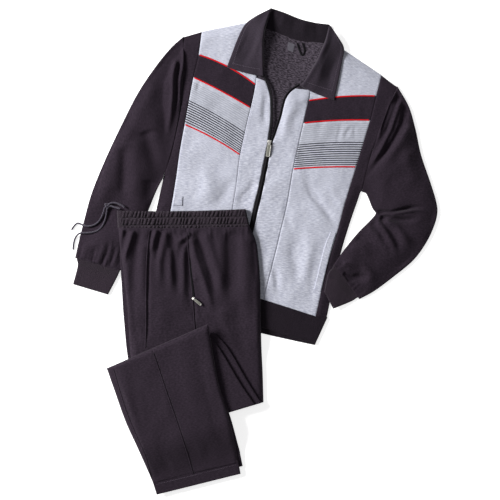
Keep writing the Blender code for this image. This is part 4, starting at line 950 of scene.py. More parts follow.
# Filled enamel: slightly cloudy, glossy enough to hold a soft highlight
olive_enamel = thread_finish("olive enamel", "6C6C60", "82827A", roughness=0.38)
for fitting in ZIPS:
    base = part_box(f"{fitting.node}_slider")[0][2] / MM
    heading = Matrix.Rotation(math.radians(fitting.heading), 4, "Z")
    plate_frame = Matrix.Scale(MM, 4) @ Matrix.Translation((fitting.x, fitting.y, base)) @ heading
    half, reach = fitting.width / 2, fitting.length / 2
    bm = bmesh.new()
    block(bm, plate_frame, (-reach, -half, 0), (reach, half, 1.4), 0.5, taper=0.72)
    for sign in (-1, 1):
        outer, inner = sorted((sign * half * 0.92, sign * (half - 1.2)))
        block(bm, plate_frame, (-1.5, outer, 1.2), (1.5, inner, PIVOT_RISE + BAR_RADIUS), 0.4)
    bar_frame = plate_frame @ Matrix.Translation((0, 0, PIVOT_RISE)) @ Matrix.Rotation(math.pi / 2, 4, "X")
    bmesh.ops.create_cone(bm, cap_ends=True, segments=14, radius1=BAR_RADIUS * 0.9, radius2=BAR_RADIUS * 0.9,
                          depth=fitting.width - 1.6, matrix=bar_frame)
    joined_trim(f"{fitting.node}_slider_cast", bm, brushed_zinc, "zip_metal", f"{fitting.node}_slider",
                sharp=35)

    pivot = Matrix.Translation((fitting.x, fitting.y, base + PIVOT_RISE))
    tilted = Matrix.Rotation(math.radians(PULLER_TILT), 4, "Y")
    pull_frame = Matrix.Scale(MM, 4) @ pivot @ heading @ tilted
    neck = fitting.width / 2 - 1.8
    tab_start, half = EYE_RADIUS + EYE_RIM + 2.4, fitting.puller_width / 2
    bm = bmesh.new()
    outer_radius = EYE_RADIUS + EYE_RIM
    eye_section = ((EYE_RADIUS, -neck), (outer_radius, -neck), (outer_radius, neck), (EYE_RADIUS, neck))
    corners = [bm.verts.new((radius, side, 0)) for radius, side in eye_section]
    sides = [bm.edges.new((a, b)) for a, b in zip(corners, corners[1:] + corners[:1])]
    bmesh.ops.spin(bm, geom=corners + sides, cent=(0, 0, 0), axis=(0, 1, 0), dvec=(0, 0, 0),
                   angle=2 * math.pi, steps=24, use_merge=True)
    bmesh.ops.recalc_face_normals(bm, faces=bm.faces[:])
    bmesh.ops.transform(bm, matrix=pull_frame, verts=bm.verts[:])
    block(bm, pull_frame, (EYE_RADIUS + 0.3, -neck, -TAB_HALF_HEIGHT),
          (tab_start + 1, neck, TAB_HALF_HEIGHT), 0.3)
    plate = bmesh.ops.create_grid(bm, x_segments=1, y_segments=1, size=0.5)["verts"]
    length = fitting.puller_length - tab_start
    bmesh.ops.scale(bm, vec=(length, 2 * half, 1), verts=plate)
    bmesh.ops.translate(bm, vec=(tab_start + length / 2, 0, -TAB_HALF_HEIGHT), verts=plate)
    rounded = bmesh.ops.bevel(bm, geom=plate, offset=half * 0.45, offset_type="OFFSET", segments=5,
                              profile=0.5, affect="VERTICES", clamp_overlap=True, material=-1)
    faces = [face for vert in rounded["verts"] for face in vert.link_faces]
    outline = max(faces, key=lambda face: len(face.verts))
    grown = bmesh.ops.extrude_face_region(bm, geom=[outline])
    raised_verts = [item for item in grown["geom"] if isinstance(item, bmesh.types.BMVert)]
    top_face = next(item for item in grown["geom"] if isinstance(item, bmesh.types.BMFace))
    bmesh.ops.translate(bm, vec=(0, 0, 2 * TAB_HALF_HEIGHT), verts=raised_verts)
    bmesh.ops.inset_region(bm, faces=[top_face], thickness=half * 0.3, use_even_offset=True)
    bmesh.ops.translate(bm, vec=(0, 0, -0.45), verts=top_face.verts[:])
    island = set(top_face.verts) | set(raised_verts)
    border = list(island)
    while border:
        vert = border.pop()
        for edge in vert.link_edges:
            other = edge.other_vert(vert)
            if other not in island:
                island.add(other)
                border.append(other)
    bmesh.ops.transform(bm, matrix=pull_frame, verts=list(island))
    bmesh.ops.recalc_face_normals(bm, faces=bm.faces[:])
    joined_trim(f"{fitting.node}_pull_frame", bm, brushed_zinc, "zip_metal", f"{fitting.node}_puller",
                body=fitting.body, sharp=35)
    bm = bmesh.new()
    rim = half * 0.3 + 0.15
    block(bm, pull_frame, (tab_start + rim, -half + rim, 0.1),
          (fitting.puller_length - rim, half - rim, 0.45), 0.15)
    joined_trim(f"{fitting.node}_pull_inlay", bm, olive_enamel, "zip_metal", body=fitting.body, sharp=35)


# Pocket welts.
# A narrow folded strip of the jersey over each slanted pocket mouth, stitched across its ends.
RIGHT_WELT = (
    Section(-194, 134, -173, 131, 0),
    Section(-197, 118, -174, 118, 0),
    Section(-199, 109, -174, 109, 0),
)
LEFT_WELT = (
    Section(180, 46, 194, 44, 0),
    Section(165, 8, 182, 3, 0),
    Section(140, -93, 157, -98, 0),
)
WELT_RISE = 1.7


def welt_top(x, y):
    """The outer face of a welt, on the front's own."""
    return jacket_top(x, y) + WELT_RISE


for side, table in (("right", RIGHT_WELT), ("left", LEFT_WELT)):
    laid_panel(f"{side}_pocket_welt_cloth", heather_jersey, table, welt_top, f"{side}_pocket_welt",
               spacing=1.6, slot="heather_grey_knit", rolled="lrtb", roll=(1.6, 1.1), thickness=1.4,
               on=[f"{side}_lower_cloth"])
    for end, share in (("inner", 0.16), ("outer", 0.84)):
        points = [across(interpolated(table, k * (len(table) - 1) / 12), share) for k in range(13)]
        stitched(f"{side}_welt_stitch_{end}", grey_thread, points, welt_top, "heather_grey_knit")


# Hem bands.
# A doubled band of fine 1x1 rib in the dark yarn, sewn on a little stretched, so that it draws the fronts in.
HEM_TOP = 6.5
# Share of its depth by which a hem band reaches up under the front
HEM_TUCK = -0.09
RIGHT_HEM = (
    Section(-270, -66, -54, -100, 0),
    Section(-266, -115, -64, -157, 0),
)
LEFT_HEM = (
    Section(-46, -101, 171, -164, -3),
    Section(-57, -159, 143, -225, 0),
)
BACK_HEM = (
    Section(-270, -66, 171, -164, -12),
    Section(-266, -115, 143, -225, -7),
)
# Ribs drawn 2.8 mm apart: the real ones are half that and would not show
fine_rib = cloth_finish("fine rib knit, anthracite", "241C25", "322A34", "181219", 2.8, 1.5, 0.35, 0.92,
                        0.05, 0.8, (3.0, 1.6), rib=2.6)
# The same rib drawn in on itself at the cuffs and the waist, with its base painted a tone lighter: a painted
# highlight for the light that its bunched ribs catch
gathered_rib_painted_highlight = cloth_finish("fine rib knit, gathered, anthracite, painted highlight", "342A34", "453A44", "241D25", 2.8, 1.5,
                            0.35, 0.92, 0.08, 0.8, (3.0, 1.6), rib=2.2)


def level(height):
    """A flat surface at one height."""
    return lambda x, y: np.full(np.shape(x), height)


def hem_top(x, y):
    """The outer face of the hem bands."""
    return HEM_TOP + rumple(x, y, 0.3)


laid_panel("hem_back_rib", fine_rib, BACK_HEM, level(BACK_RISE), "hem_back", spacing=6.0, dip=0.2,
           slot="anthracite_rib", on=["hem_back"])
for side, table in (("right", RIGHT_HEM), ("left", LEFT_HEM)):
    laid_panel(f"hem_{side}_rib", fine_rib, table, hem_top, f"hem_{side}", rolled="b", first=HEM_TUCK,
               roll=(3.0, 2.4), slot="anthracite_rib", on=["hem_back_rib"])


# Sleeves.
# Each is one tube of the dark brushed knit, pressed flat with its seam underneath. The knit keeps soft folds
# from the shoulder down, crushed ones at the bent elbow, and small gathers where the cuff draws it in.
SLEEVE_EDGE_RADIUS = 3.6
SLEEVE_PUFF = 8.0
Crease = namedtuple("Crease", "path width rise lean")
# Share of a table row by which a sleeve reaches into its armhole seam
SLEEVE_TUCK = -0.035
# Shares of its length over which a crease comes up at its start and fades out at its end
CREASE_START, CREASE_FADE = 0.1, 0.42
GATHER_LENGTHS = (26, 38, 20, 33, 24, 41, 18, 30)
LEFT_SIDE_FREE_EDGE = path_of((253, 144), (223, 56), (200, -26), (143, -225))
LEFT_FOREARM_START = 55


def crease_table(*rows):
    """Creases from rows of plain numbers: each one's route, then its width, its rise and its lean."""
    return tuple(Crease(path_of(*points), width, rise, lean) for *points, width, rise, lean in rows)


RIGHT_SLEEVE_CREASES = crease_table(
    ((-178, 502), (-200, 459), (-221, 406), (-224, 351), (-219, 296), (-221, 238), 17, -9, -0.35),
    ((-190, 464), (-197, 423), (-198, 375), (-202, 327), (-212, 267), 6, 6.2, 0),
    ((-180, 459), (-188, 411), (-189, 363), (-195, 320), 4.5, -5, 0),
    ((-170, 492), (-171, 454), (-179, 411), (-183, 363), (-192, 310), 5.5, 5, 0),
    ((-161, 468), (-168, 411), (-176, 353), 5, -3.6, 0),
    ((-314, 252), (-315, 183), (-320, 104), 12, -5.3, 0),
    ((-286, 272), (-284, 195), (-288, 108), 18, 3.6, 0),
    ((-262, 291), (-250, 243), (-236, 190), 16, -6.4, 0),
    ((-334, 267), (-356, 171), (-372, 113), 20, 2.5, 0),
    ((-252, 171), (-260, 111), 12, -3.4, 0),
    ((-380, -31), (-365, 3), (-356, 36), 5.5, 1.9, 0),
    ((-370, -36), (-356, -7), (-347, 27), 4.5, -1.8, 0),
    ((-360, -36), (-346, 3), (-339, 36), 5, 1.8, 0),
    ((-351, -40), (-339, -12), (-332, 22), 4.5, -1.8, 0),
    ((-341, -40), (-332, -14), (-324, 12), 4.5, 1.9, 0),
    ((-392, -26), (-380, 17), 7, -2.5, 0),
    ((-411, -19), (-399, 22), 7, 2.2, 0),
)
LEFT_SLEEVE_CREASES = crease_table(
    ((340, 387), (319, 351), (302, 303), (290, 248), 5, 6.1, -0.3),
    ((345, 375), (333, 334), (316, 291), (297, 250), 5, -6.1, 0),
    ((350, 365), (336, 329), (324, 291), (300, 243), (266, 190), 6, 7.8, -0.3),
    ((362, 353), (350, 303), (331, 264), (300, 219), (268, 171), 8, -8.5, 0.2),
    ((376, 310), (350, 272), (324, 238), (295, 202), (261, 156), 13, 7.1, 0.55),
    ((285, 94), (324, 92), (372, 104), (412, 106), 4.6, -8.5, 0),
    ((297, 88), (348, 93), (384, 98), (420, 94), 4.2, 6.1, 0),
    ((297, 84), (328, 77), (367, 75), (398, 82), 6.5, -8.5, 0),
    ((309, 77), (338, 60), (355, 36), (374, 3), 8, 5.8, 0),
    ((297, 82), (319, 53), (338, 24), (350, -14), 8, -5.1, 0),
    ((290, 77), (314, 46), (331, 15), (340, -19), 7, 4.1, 0),
    ((278, 72), (300, 44), (316, 3), 7, -3.4, 0),
    ((264, 60), (290, 41), (309, 12), (319, -19), 7, 3.4, 0),
    ((242, 32), (271, 27), (292, 3), 6, -3.1, 0),
    ((228, 10), (256, 8), (278, -16), 7, 2.7, 0),
    ((208, -57), (232, -64), (256, -62), (271, -48), 9, -7.5, 0),
    ((206, -31), (232, -26), (256, -33), (278, -55), (273, -84), 9, 5.1, 0),
    ((360, 243), (376, 183), (357, 132), 16, 3.1, 0),
    ((391, 39), (367, -9), (319, -57), 18, -3.4, 0),
)


def drawn_creases(table, x, y):
    """Summed rise of creases that follow a drawn route, each broader on one flank when it leans."""
    rise = np.zeros(np.shape(x))
    for crease in table:
        nearest, off, run = np.full(np.shape(x), np.inf), np.zeros(np.shape(x)), np.zeros(np.shape(x))
        walked = 0.0
        for a, b in zip(crease.path, crease.path[1:]):
            dx, dy = b.x - a.x, b.y - a.y
            length = math.hypot(dx, dy)
            share = np.clip(((x - a.x) * dx + (y - a.y) * dy) / length**2, 0, 1)
            gap = np.hypot(x - a.x - share * dx, y - a.y - share * dy)
            side = np.sign((x - a.x) * dy - (y - a.y) * dx)
            closer = gap < nearest
            nearest = np.where(closer, gap, nearest)
            off = np.where(closer, gap * side, off)
            run = np.where(closer, walked + share * length, run)
            walked += length
        width = crease.width * np.where(off < 0, 1 + crease.lean, 1 - crease.lean)
        fade = smooth(np.minimum(run / CREASE_START, (walked - run) / CREASE_FADE) / walked)
        rise = rise + crease.rise * np.exp(-((off / width) ** 2)) * fade
    return rise


def gathers_beside(section, count, rise, width):
    """Short uneven gathers that run out of a seam, square to it."""
    dx, dy = section.right_x - section.left_x, section.right_y - section.left_y
    length = math.hypot(dx, dy)
    made = []
    for k in range(count):
        x, y = across(section, (k + 0.5 + 0.22 * math.sin(2.4 * k)) / count)
        reach = GATHER_LENGTHS[k % len(GATHER_LENGTHS)]
        high = rise * (0.75 + 0.35 * math.sin(1.7 * k + 0.6))
        made.append(Fold(x + dy / length * reach * 0.3, y - dx / length * reach * 0.3,
                         x - dy / length * reach, y + dx / length * reach, width, high))
    return tuple(made)


left_free_edge = seam(LEFT_SIDE_FREE_EDGE)
CUFF_GATHERS = gathers_beside(RIGHT_SLEEVE[-1], 13, 1.3, 3.4) + gathers_beside(LEFT_SLEEVE[-1], 12, 1.3, 3.4)
floor_height = level(0.0)
# How much of the solids' plainer main folds stays under the drawn ones
MAIN_SHARE = 0.4


def left_sleeve_base(x, y):
    """The floor, and the jacket's side edge where the forearm and cuff lie across it."""
    free = np.array([left_free_edge(at) for at in np.ravel(y)]).reshape(np.shape(y))
    return (CROWN + 0.4) * (1 - smooth((x - free - 3) / 60)) * smooth((LEFT_FOREARM_START - y) / 70)


# Where the trousers' tie cord lies across the sleeve and presses it flat
CORD_PRESS = path_of((-330, 112), (-368, 84), (-400, 56), (-440, 30))
SLEEVE_SEAMS = (CORD_PRESS,) + tuple(
    tuple(Line(*across(section, share)) for share in np.linspace(0, 1, 9))
    for section in (RIGHT_SLEEVE[0], RIGHT_SLEEVE[-1], LEFT_SLEEVE[0], LEFT_SLEEVE[-1])
)


def sleeve_height(x, y, inset):
    """Height of a sleeve over what it lies on: a low soft dome that flattens towards its seams."""
    from_seam = np.min([away_from(path, x, y) for path in SLEEVE_SEAMS], axis=0)
    dome = CROWN - 2 * SLEEVE_EDGE_RADIUS + SLEEVE_PUFF * smooth(from_seam / 55)
    height = 2 * SLEEVE_EDGE_RADIUS + dome * np.sin(np.clip(inset / 44, 0, 1) * math.pi / 2)
    folds = drawn_creases(RIGHT_SLEEVE_CREASES + LEFT_SLEEVE_CREASES, x, y) + creases(CUFF_GATHERS, x, y)
    folds = folds + creases(JACKET_FOLDS, x, y) * MAIN_SHARE
    free = smooth((away_from(CORD_PRESS, x, y) - 12) / 30)
    height = height + (folds + rumple(x, y, 1.2)) * smooth(inset / 9) * free
    return np.clip(height, CLOSED_EDGE + 0.4, pressed(x, y) + SLEEVE_PUFF)


def laid_tube(name, material, table, base, height, *nodes, radius=SLEEVE_EDGE_RADIUS, spacing=2.8,
              slot="anthracite_knit", held="laid", on=(), thickness=1.8, pinch=1.6, ends=1.2, first=0.0):
    """A tube of cloth pressed flat: rounded at both edges, flat below, its folds on the upper side."""
    last = len(table) - 1
    sections = [interpolated(table, first + (last - first) * k / 12) for k in range(13)]
    width = sum(chord(section) for section in sections) / 13
    length = path_length([across(section, 0.5) for section in sections])
    downs = marks(length, spacing, EDGE_MARKS)
    bend = np.linspace(0, math.pi / 2, 6)[:-1]
    count = max(int((width - 2 * radius) / spacing), 3)
    flat = np.linspace(0, 1, count + 1)
    few = np.linspace(0, 1, max(count // 3, 2) + 1)
    start, share, side = [], [], []

    def go(offset, of_width, face):
        """Carries the tube's cross-section on: inset, share of the width, and which face it is on."""
        start.extend(offset)
        share.extend(of_width)
        side.extend(face)

    under, over = few[few <= 0.5][::-1], few[few > 0.5][::-1]
    go(radius - 2 * radius * under, under, np.full(len(under), -1.0))
    go(radius * (1 - np.cos(bend[::-1])), bend * 0, -np.sin(bend[::-1]))
    go(radius * (1 - np.cos(bend[1:])), bend[1:] * 0, np.sin(bend[1:]))
    go(radius - 2 * radius * flat, flat, np.ones(len(flat)))
    go(-radius * (1 - np.cos(bend[::-1])), bend * 0 + 1, np.sin(bend[::-1]))
    go(-radius * (1 - np.cos(bend[1:])), bend[1:] * 0 + 1, -np.sin(bend[1:]))
    go(radius - 2 * radius * over, over, np.full(len(over), -1.0))
    start, share, side = (np.array(values + values[:1]) for values in (start, share, side))
    bm, column, row = cloth_grid(len(start), len(downs))
    plan, offsets = np.empty((len(downs), len(start), 2)), np.empty((len(downs), len(start)))
    widths = np.empty(len(downs))
    for k, down in enumerate(downs):
        section = interpolated(table, first + (last - first) * down)
        widths[k] = chord(section)
        offsets[k] = start + share * widths[k]
        plan[k, :, 0], plan[k, :, 1] = across(section, offsets[k] / widths[k])
    x, y, offset = plan[row, column, 0], plan[row, column, 1], offsets[row, column]
    inset = np.maximum(np.minimum(offset, widths[row] - offset) - radius, 0)
    to_end = np.minimum(downs, 1 - downs)[row] * length
    low = base(x, y)
    high = low + height(x, y, inset) - pinch * np.exp(-((to_end / ends) ** 2))
    move_points(bm, x, y, (low + high) / 2 + side[column] * (high - low) / 2)
    around = np.concatenate([[0], np.cumsum(np.hypot(np.diff(offsets[0]), np.diff(side) * radius))])
    uvs = np.stack([around[column] * widths[row] / widths[0], (1 - downs[row]) * length], axis=1) * MM
    piece = cloth_piece(name, bm, material, uvs, *nodes, slot=slot, thickness=thickness, weld=True)


laid_tube("right_sleeve_cloth", anthracite_knit, RIGHT_SLEEVE, floor_height, sleeve_height, "right_sleeve",
          slot="anthracite_knit", first=SLEEVE_TUCK)
laid_tube("left_sleeve_cloth", anthracite_knit, LEFT_SLEEVE, left_sleeve_base, sleeve_height, "left_sleeve",
          slot="anthracite_knit", on=["left_side_cloth"], first=SLEEVE_TUCK)


# Cuffs.
# Doubled fine rib, knitted round, narrower than the sleeve that it gathers.
CUFF_HEIGHT = 7.2
# Share of a table row by which a cuff reaches up inside its sleeve
CUFF_TUCK = -0.4
RIGHT_CUFF = (
    Section(-428, -20, -326, -51, 0),
    Section(-426, -36, -333, -66, 0),
    Section(-437, -79, -353, -104, 0),
)
LEFT_CUFF = (
    Section(185, -39, 244, -112, 0),
    Section(174, -55, 229, -121, 0),
    Section(165, -97, 187, -138, 0),
)


def cuff_height(x, y, inset):
    return CUFF_HEIGHT + rumple(x, y, 0.25) * smooth(inset / 6)


laid_tube("right_cuff_rib", gathered_rib_painted_highlight, RIGHT_CUFF, floor_height, cuff_height, "right_cuff", spacing=2.2,
          slot="anthracite_rib", pinch=1.6, first=CUFF_TUCK)
laid_tube("left_cuff_rib", gathered_rib_painted_highlight, LEFT_CUFF, left_sleeve_base, cuff_height, "left_cuff", spacing=2.2,
          slot="anthracite_rib", pinch=1.6, on=["left_side_cloth"], first=CUFF_TUCK)


# Collar.
# A stand collar of the dark knit, two layers, worn open: its back stands up from the neck seam, and its ends
# fall over on the fronts. A row of stitching runs beside the collar's edge.
WING_RISE, COLLAR_ROLL = 12.2, 3.0
COLLAR_BACK = (
    Section(26, 534, 41, 582, 0),
    Section(55, 523, 67, 573, 0),
    Section(96, 507, 110, 556, 0),
    Section(132, 500, 144, 548, 0),
    Section(164, 497, 175, 544, 0),
)
RIGHT_WING = (
    Section(-68, 441, 8, 425, -3),
    Section(-57, 471, 16, 459, 0),
    Section(-41, 512, 21, 502, 0),
    Section(-24, 544, 25, 533, 0),
    Section(0, 562, 32, 558, 0),
    Section(21, 573, 39, 582, 0),
)
LEFT_WING = (
    Section(110, 395, 190, 362, -3),
    Section(127, 424, 200, 411, 0),
    Section(146, 456, 208, 454, 0),
    Section(158, 483, 213, 486, 0),
    Section(168, 507, 198, 514, 0),
    Section(177, 542, 182, 538, 0),
)
WING_FOLDS = (
    Fold(-52, 455, -20, 540, 9, 1.2),
    Fold(-30, 440, 6, 520, 8, -1.1),
    Fold(-2, 470, 22, 550, 7, 1.0),
    Fold(140, 390, 176, 480, 9, 1.2),
    Fold(168, 380, 196, 470, 9, -1.1),
    Fold(150, 440, 180, 520, 7, 1.0),
)
STAND_FOLDS = (
    Fold(70, 580, 62, 520, 9, 2.2),
    Fold(96, 570, 88, 508, 8, -1.8),
    Fold(122, 560, 112, 500, 10, 2.2),
    Fold(150, 556, 144, 494, 8, -1.8),
    Fold(44, 586, 38, 526, 7, -1.6),
)
# The right end as it shows: its lower corner turns in over the placket
RIGHT_WING_SHOWN = (Section(-68, 441, 20, 419, -3), Section(-57, 471, 21, 456, 0)) + RIGHT_WING[2:]
# Where the wings fold over, beside the neck, and how high they stand there between the ends of the fold
WING_EDGES = (
    tuple(Line(row.right_x, row.right_y) for row in RIGHT_WING_SHOWN),
    tuple(Line(row.left_x, row.left_y) for row in LEFT_WING),
)
CREST_RISE, CREST_REACH, CREST_START = 9.5, 56.0, 60.0
CREST_WALL, WALL_WIDTH = 15.0, 3.2
WING_FOLD_GAIN = 2.0


def collar_back_top(x, y):
    """The inner face of the stand, which rises from the neck seam."""
    seam_line = [Line(row.left_x, row.left_y) for row in COLLAR_BACK]
    stand = smooth(away_from(seam_line, x, y) / 44)
    folds = creases(STAND_FOLDS, x, y) + rumple(x, y, 0.6)
    return BACK_RISE + 1.0 + (CROWN - BACK_RISE) * stand + folds * stand**0.5


def wing_top(x, y):
    """The outer face of a wing, which stands up at its fold, and its inner layer down to the neck there."""
    near = np.min([away_from(path, x, y) for path in WING_EDGES], axis=0)
    ends = [point for path in WING_EDGES for point in (path[0], path[-1])]
    from_end = np.min([np.hypot(x - end.x, y - end.y) for end in ends], axis=0)
    standing = smooth(from_end / CREST_START)
    crest = CREST_RISE * (1 - smooth(near / CREST_REACH)) - CREST_WALL * (1 - smooth(near / WALL_WIDTH))
    rise = WING_RISE + COLLAR_ROLL * (1 - smooth(near / 16)) + standing * crest
    return rise + creases(WING_FOLDS, x, y) * WING_FOLD_GAIN + rumple(x, y, 0.9)


# Collar cloth: the same knit, seen on its smoother face, a shade more violet
collar_knit = cloth_finish("interlock knit, collar, anthracite", "2A222C", "3A303D", "1C171F", 1.6, 1.4,
                           0.4, 0.85, 0.14, 0.4, (5.0, 1.6), specular=0.2)
# The inside of the stand: the same knit on its flat side, which takes no sheen, with its base painted darker:
# painted shade for the stand's inner face, turned away from the light
lining_knit_painted_shade = cloth_finish("interlock knit, inside the collar, anthracite", "1E191F", "2B242D", "141115",
                           1.6, 1.4, 0.4, 0.9, 0.04, 0.4, (5.0, 1.6))
laid_panel("collar_back_cloth", lining_knit_painted_shade, COLLAR_BACK, collar_back_top, "collar_back", spacing=2.4,
           rolled="r", roll=(4.0, 3.0), dip=0.5, first=-0.15, last=len(COLLAR_BACK) - 0.88,
           on=["jacket_back_cloth"])
for side, table in (("right", RIGHT_WING_SHOWN), ("left", LEFT_WING)):
    laid_panel(f"collar_wing_{side}_cloth", collar_knit, table, wing_top, f"collar_wing_{side}",
               spacing=2.4, rolled="lrtb", roll=(3.0, 1.6), thickness=2.6, held="folded",
               on=[f"{side}_yoke_cloth"])
violet_thread = thread_finish("sewing thread, violet grey", "4C424F", "6A5F6E")
for side, table, share in (("right", RIGHT_WING_SHOWN, 0.13), ("left", LEFT_WING, 0.87)):
    points = [across(interpolated(table, k * (len(table) - 1) / 16), share) for k in range(1, 15)]
    stitched(f"collar_stitch_{side}", violet_thread, points, wing_top, "anthracite_knit")
for side, table in (("right", RIGHT_WING_SHOWN), ("left", LEFT_WING)):
    points = [across(interpolated(table, 0.42), share) for share in np.linspace(0.1, 0.9, 9)]
    stitched(f"collar_end_stitch_{side}", violet_thread, points, wing_top, "anthracite_knit")


# Neck label and hanging loop.
# A woven damask label, left plain, and a flat loop of black tape, both caught in the neck seam.
NECK_LABEL = (
    Section(80, 502, 96, 496, 0),
    Section(75, 483, 91, 477, 0),
)
HANGING_LOOP = path_of(
    (102, 492), (109, 471), (115, 462), (120, 473), (115, 492),
)
# The loop's ends reach up under the collar
LOOP_LIFT = (-2.0, 8.0)
label_damask = cloth_finish("woven damask label, grey", "55525A", "6E6B73", "434047", 0.9, 0.9, 0.35, 0.6,
                            0.1, 0.3, (2.0, 0.8))
laid_panel("neck_label_damask", label_damask, NECK_LABEL, level(BACK_RISE + 1.2), "neck_label", spacing=1.6,
           thickness=0.8, slot="label_cloth", dip=0.2, on=["jacket_back_cloth"])
loop_path = dense(HANGING_LOOP, 2.0) + LOOP_LIFT
tube_along("hanging_loop_tape", tape_weave, on_surface(loop_path, floor_height, BACK_RISE + 3.0), 2.0,
           0.7, "hanging_loop", sides=8, slot="anthracite_knit")


# Trousers: legs.
# Long trousers of the dark brushed knit, one leg on the other, folded over the jacket's corner: the upper leg
# runs down from the waistband, a length turns back up under the lower leg, and the lower leg runs down to the
# hem. A pintuck runs down each front, and the side seam stands up a little where it was turned and stitched.
LEG_PAIR, LEG_HOLLOW, SHIN_HOLLOW, FOLDED_LEG, LOWER_PAIR = 15.0, 3.4, 2.6, 4.4, 12.0
PILE_GAP, LAYER_GAP, EDGE_DROP, SHIN_DROP = 1.6, 0.4, 4.5, 2.5
JACKET_DRAPE, THIGH_DRAPE, SHIN_DRAPE, DRAPE_START = 80.0, 90.0, 160.0, 10.0
JACKET_END = path_of((-329, -111), (16, -182))
THIGH_REACH = path_of(
    (-310, -117), (-304, -249), (-255, -448), (21, -364), (14, -117),
)
RETURN_REACH = path_of(
    (-365, -276), (-108, -165), (33, -362), (-255, -458),
)
THIGH_OUTLINE = path_of(
    (-335, 123), (-328, 53), (-299, -249), (-251, -444), (20, -362),
    (13, -81), (2, 24), (-22, 123),
)
SHIN_OUTLINE = path_of(
    (-357, -277), (-113, -177), (-63, -396), (-17, -602), (-228, -602), (-257, -520),
)
THIGH_FRONT = (
    Section(-328, 54, -165, 53, -1),
    Section(-325, 17, -162, 17, 0),
    Section(-319, -26, -159, -26, 0),
    Section(-313, -74, -154, -74, 0),
    Section(-306, -136, -148, -132, 0),
    Section(-299, -249, -137, -237, 0),
    Section(-281, -326, -125, -302, 0),
    Section(-251, -444, -99, -398, 0),
)
THIGH_BACK = (
    Section(-165, 53, -12, 56, 0),
    Section(-162, 17, 2, 24, 0),
    Section(-159, -26, 8, -21, 0),
    Section(-154, -74, 12, -72, 0),
    Section(-148, -132, 13, -132, 0),
    Section(-137, -237, 15, -225, 0),
    Section(-125, -302, 18, -290, 0),
    Section(-99, -398, 20, -362, 0),
)
UNDER_THIGH = (
    Section(-330, 52, -14, 55, 0),
    Section(-326, 12, 1, 20, 0),
    Section(-320, -79, 11, -72, 0),
    Section(-315, -160, 12, -141, 0),
    Section(-306, -252, 14, -228, 0),
    Section(-286, -338, 16, -297, 0),
    Section(-252, -441, 18, -357, 0),
)
RETURN_LOWER = (
    Section(-248, -440, 14, -363, 0),
    Section(-276, -398, -18, -312, 0),
    Section(-310, -338, -65, -232, 0),
    Section(-336, -292, -100, -193, 0),
)
RETURN_UPPER = (
    Section(-245, -439, -1, -367, 0),
    Section(-274, -398, -38, -312, 0),
    Section(-308, -338, -86, -232, 0),
    Section(-334, -292, -116, -202, 0),
)
SHIN_FRONT = (
    Section(-353, -285, -243, -241, 0),
    Section(-335, -336, -211, -336, 0),
    Section(-309, -408, -186, -408, 0),
    Section(-275, -482, -164, -477, 0),
    Section(-245, -555, -149, -531, 0),
)
SHIN_BACK = (
    Section(-243, -241, -110, -186, 0),
    Section(-211, -336, -87, -316, 0),
    Section(-186, -408, -63, -396, 0),
    Section(-164, -477, -48, -463, 0),
    Section(-149, -531, -40, -506, 0),
)
UNDER_SHIN = (
    Section(-341, -292, -118, -202, 0),
    Section(-327, -336, -86, -319, 0),
    Section(-300, -408, -59, -396, 0),
    Section(-267, -480, -42, -460, 0),
    Section(-246, -532, -36, -483, 0),
)
WAISTBAND = (
    Section(-331, 97, -23, 101, -3),
    Section(-329, 55, -13, 58, -3),
)
TROUSER_FOLDS = (
    Fold(-291, 53, -310, -26, 9, 2.6),
    Fold(-305, 51, -321, 3, 7, -2.0),
    Fold(-274, 53, -279, -26, 8, -2.4),
    Fold(-233, 53, -250, -7, 8, 2.6),
    Fold(-219, 53, -228, -26, 8, -2.4),
    Fold(-202, 53, -224, -12, 8, 2.6),
    Fold(-195, 46, -197, -79, 10, -2.6),
    Fold(-178, 51, -195, 3, 7, 2.4),
    Fold(-154, 46, -125, -69, 10, -4.6),
    Fold(-132, -40, -106, -184, 10, -4.4),
    Fold(-140, 51, -99, -108, 13, 3.4),
    Fold(-118, 53, -89, -26, 9, -2.2),
    Fold(-87, 46, -80, -165, 19, 2.8),
    Fold(-51, 56, -63, -117, 20, -3.2),
    Fold(-27, 51, -20, -189, 20, 2.6),
    Fold(-281, -26, -281, -189, 16, -2.0),
    Fold(-228, -26, -214, -189, 24, 2.2),
    Fold(-173, -26, -161, -189, 12, -2.2),
)
SHIN_FOLDS = (
    Fold(-310, -266, -255, -453, 14, -1.6),
    Fold(-180, -223, -132, -405, 22, 1.8),
    Fold(-142, -223, -80, -453, 16, -1.8),
    Fold(-228, -405, -200, -549, 18, -1.4),
)
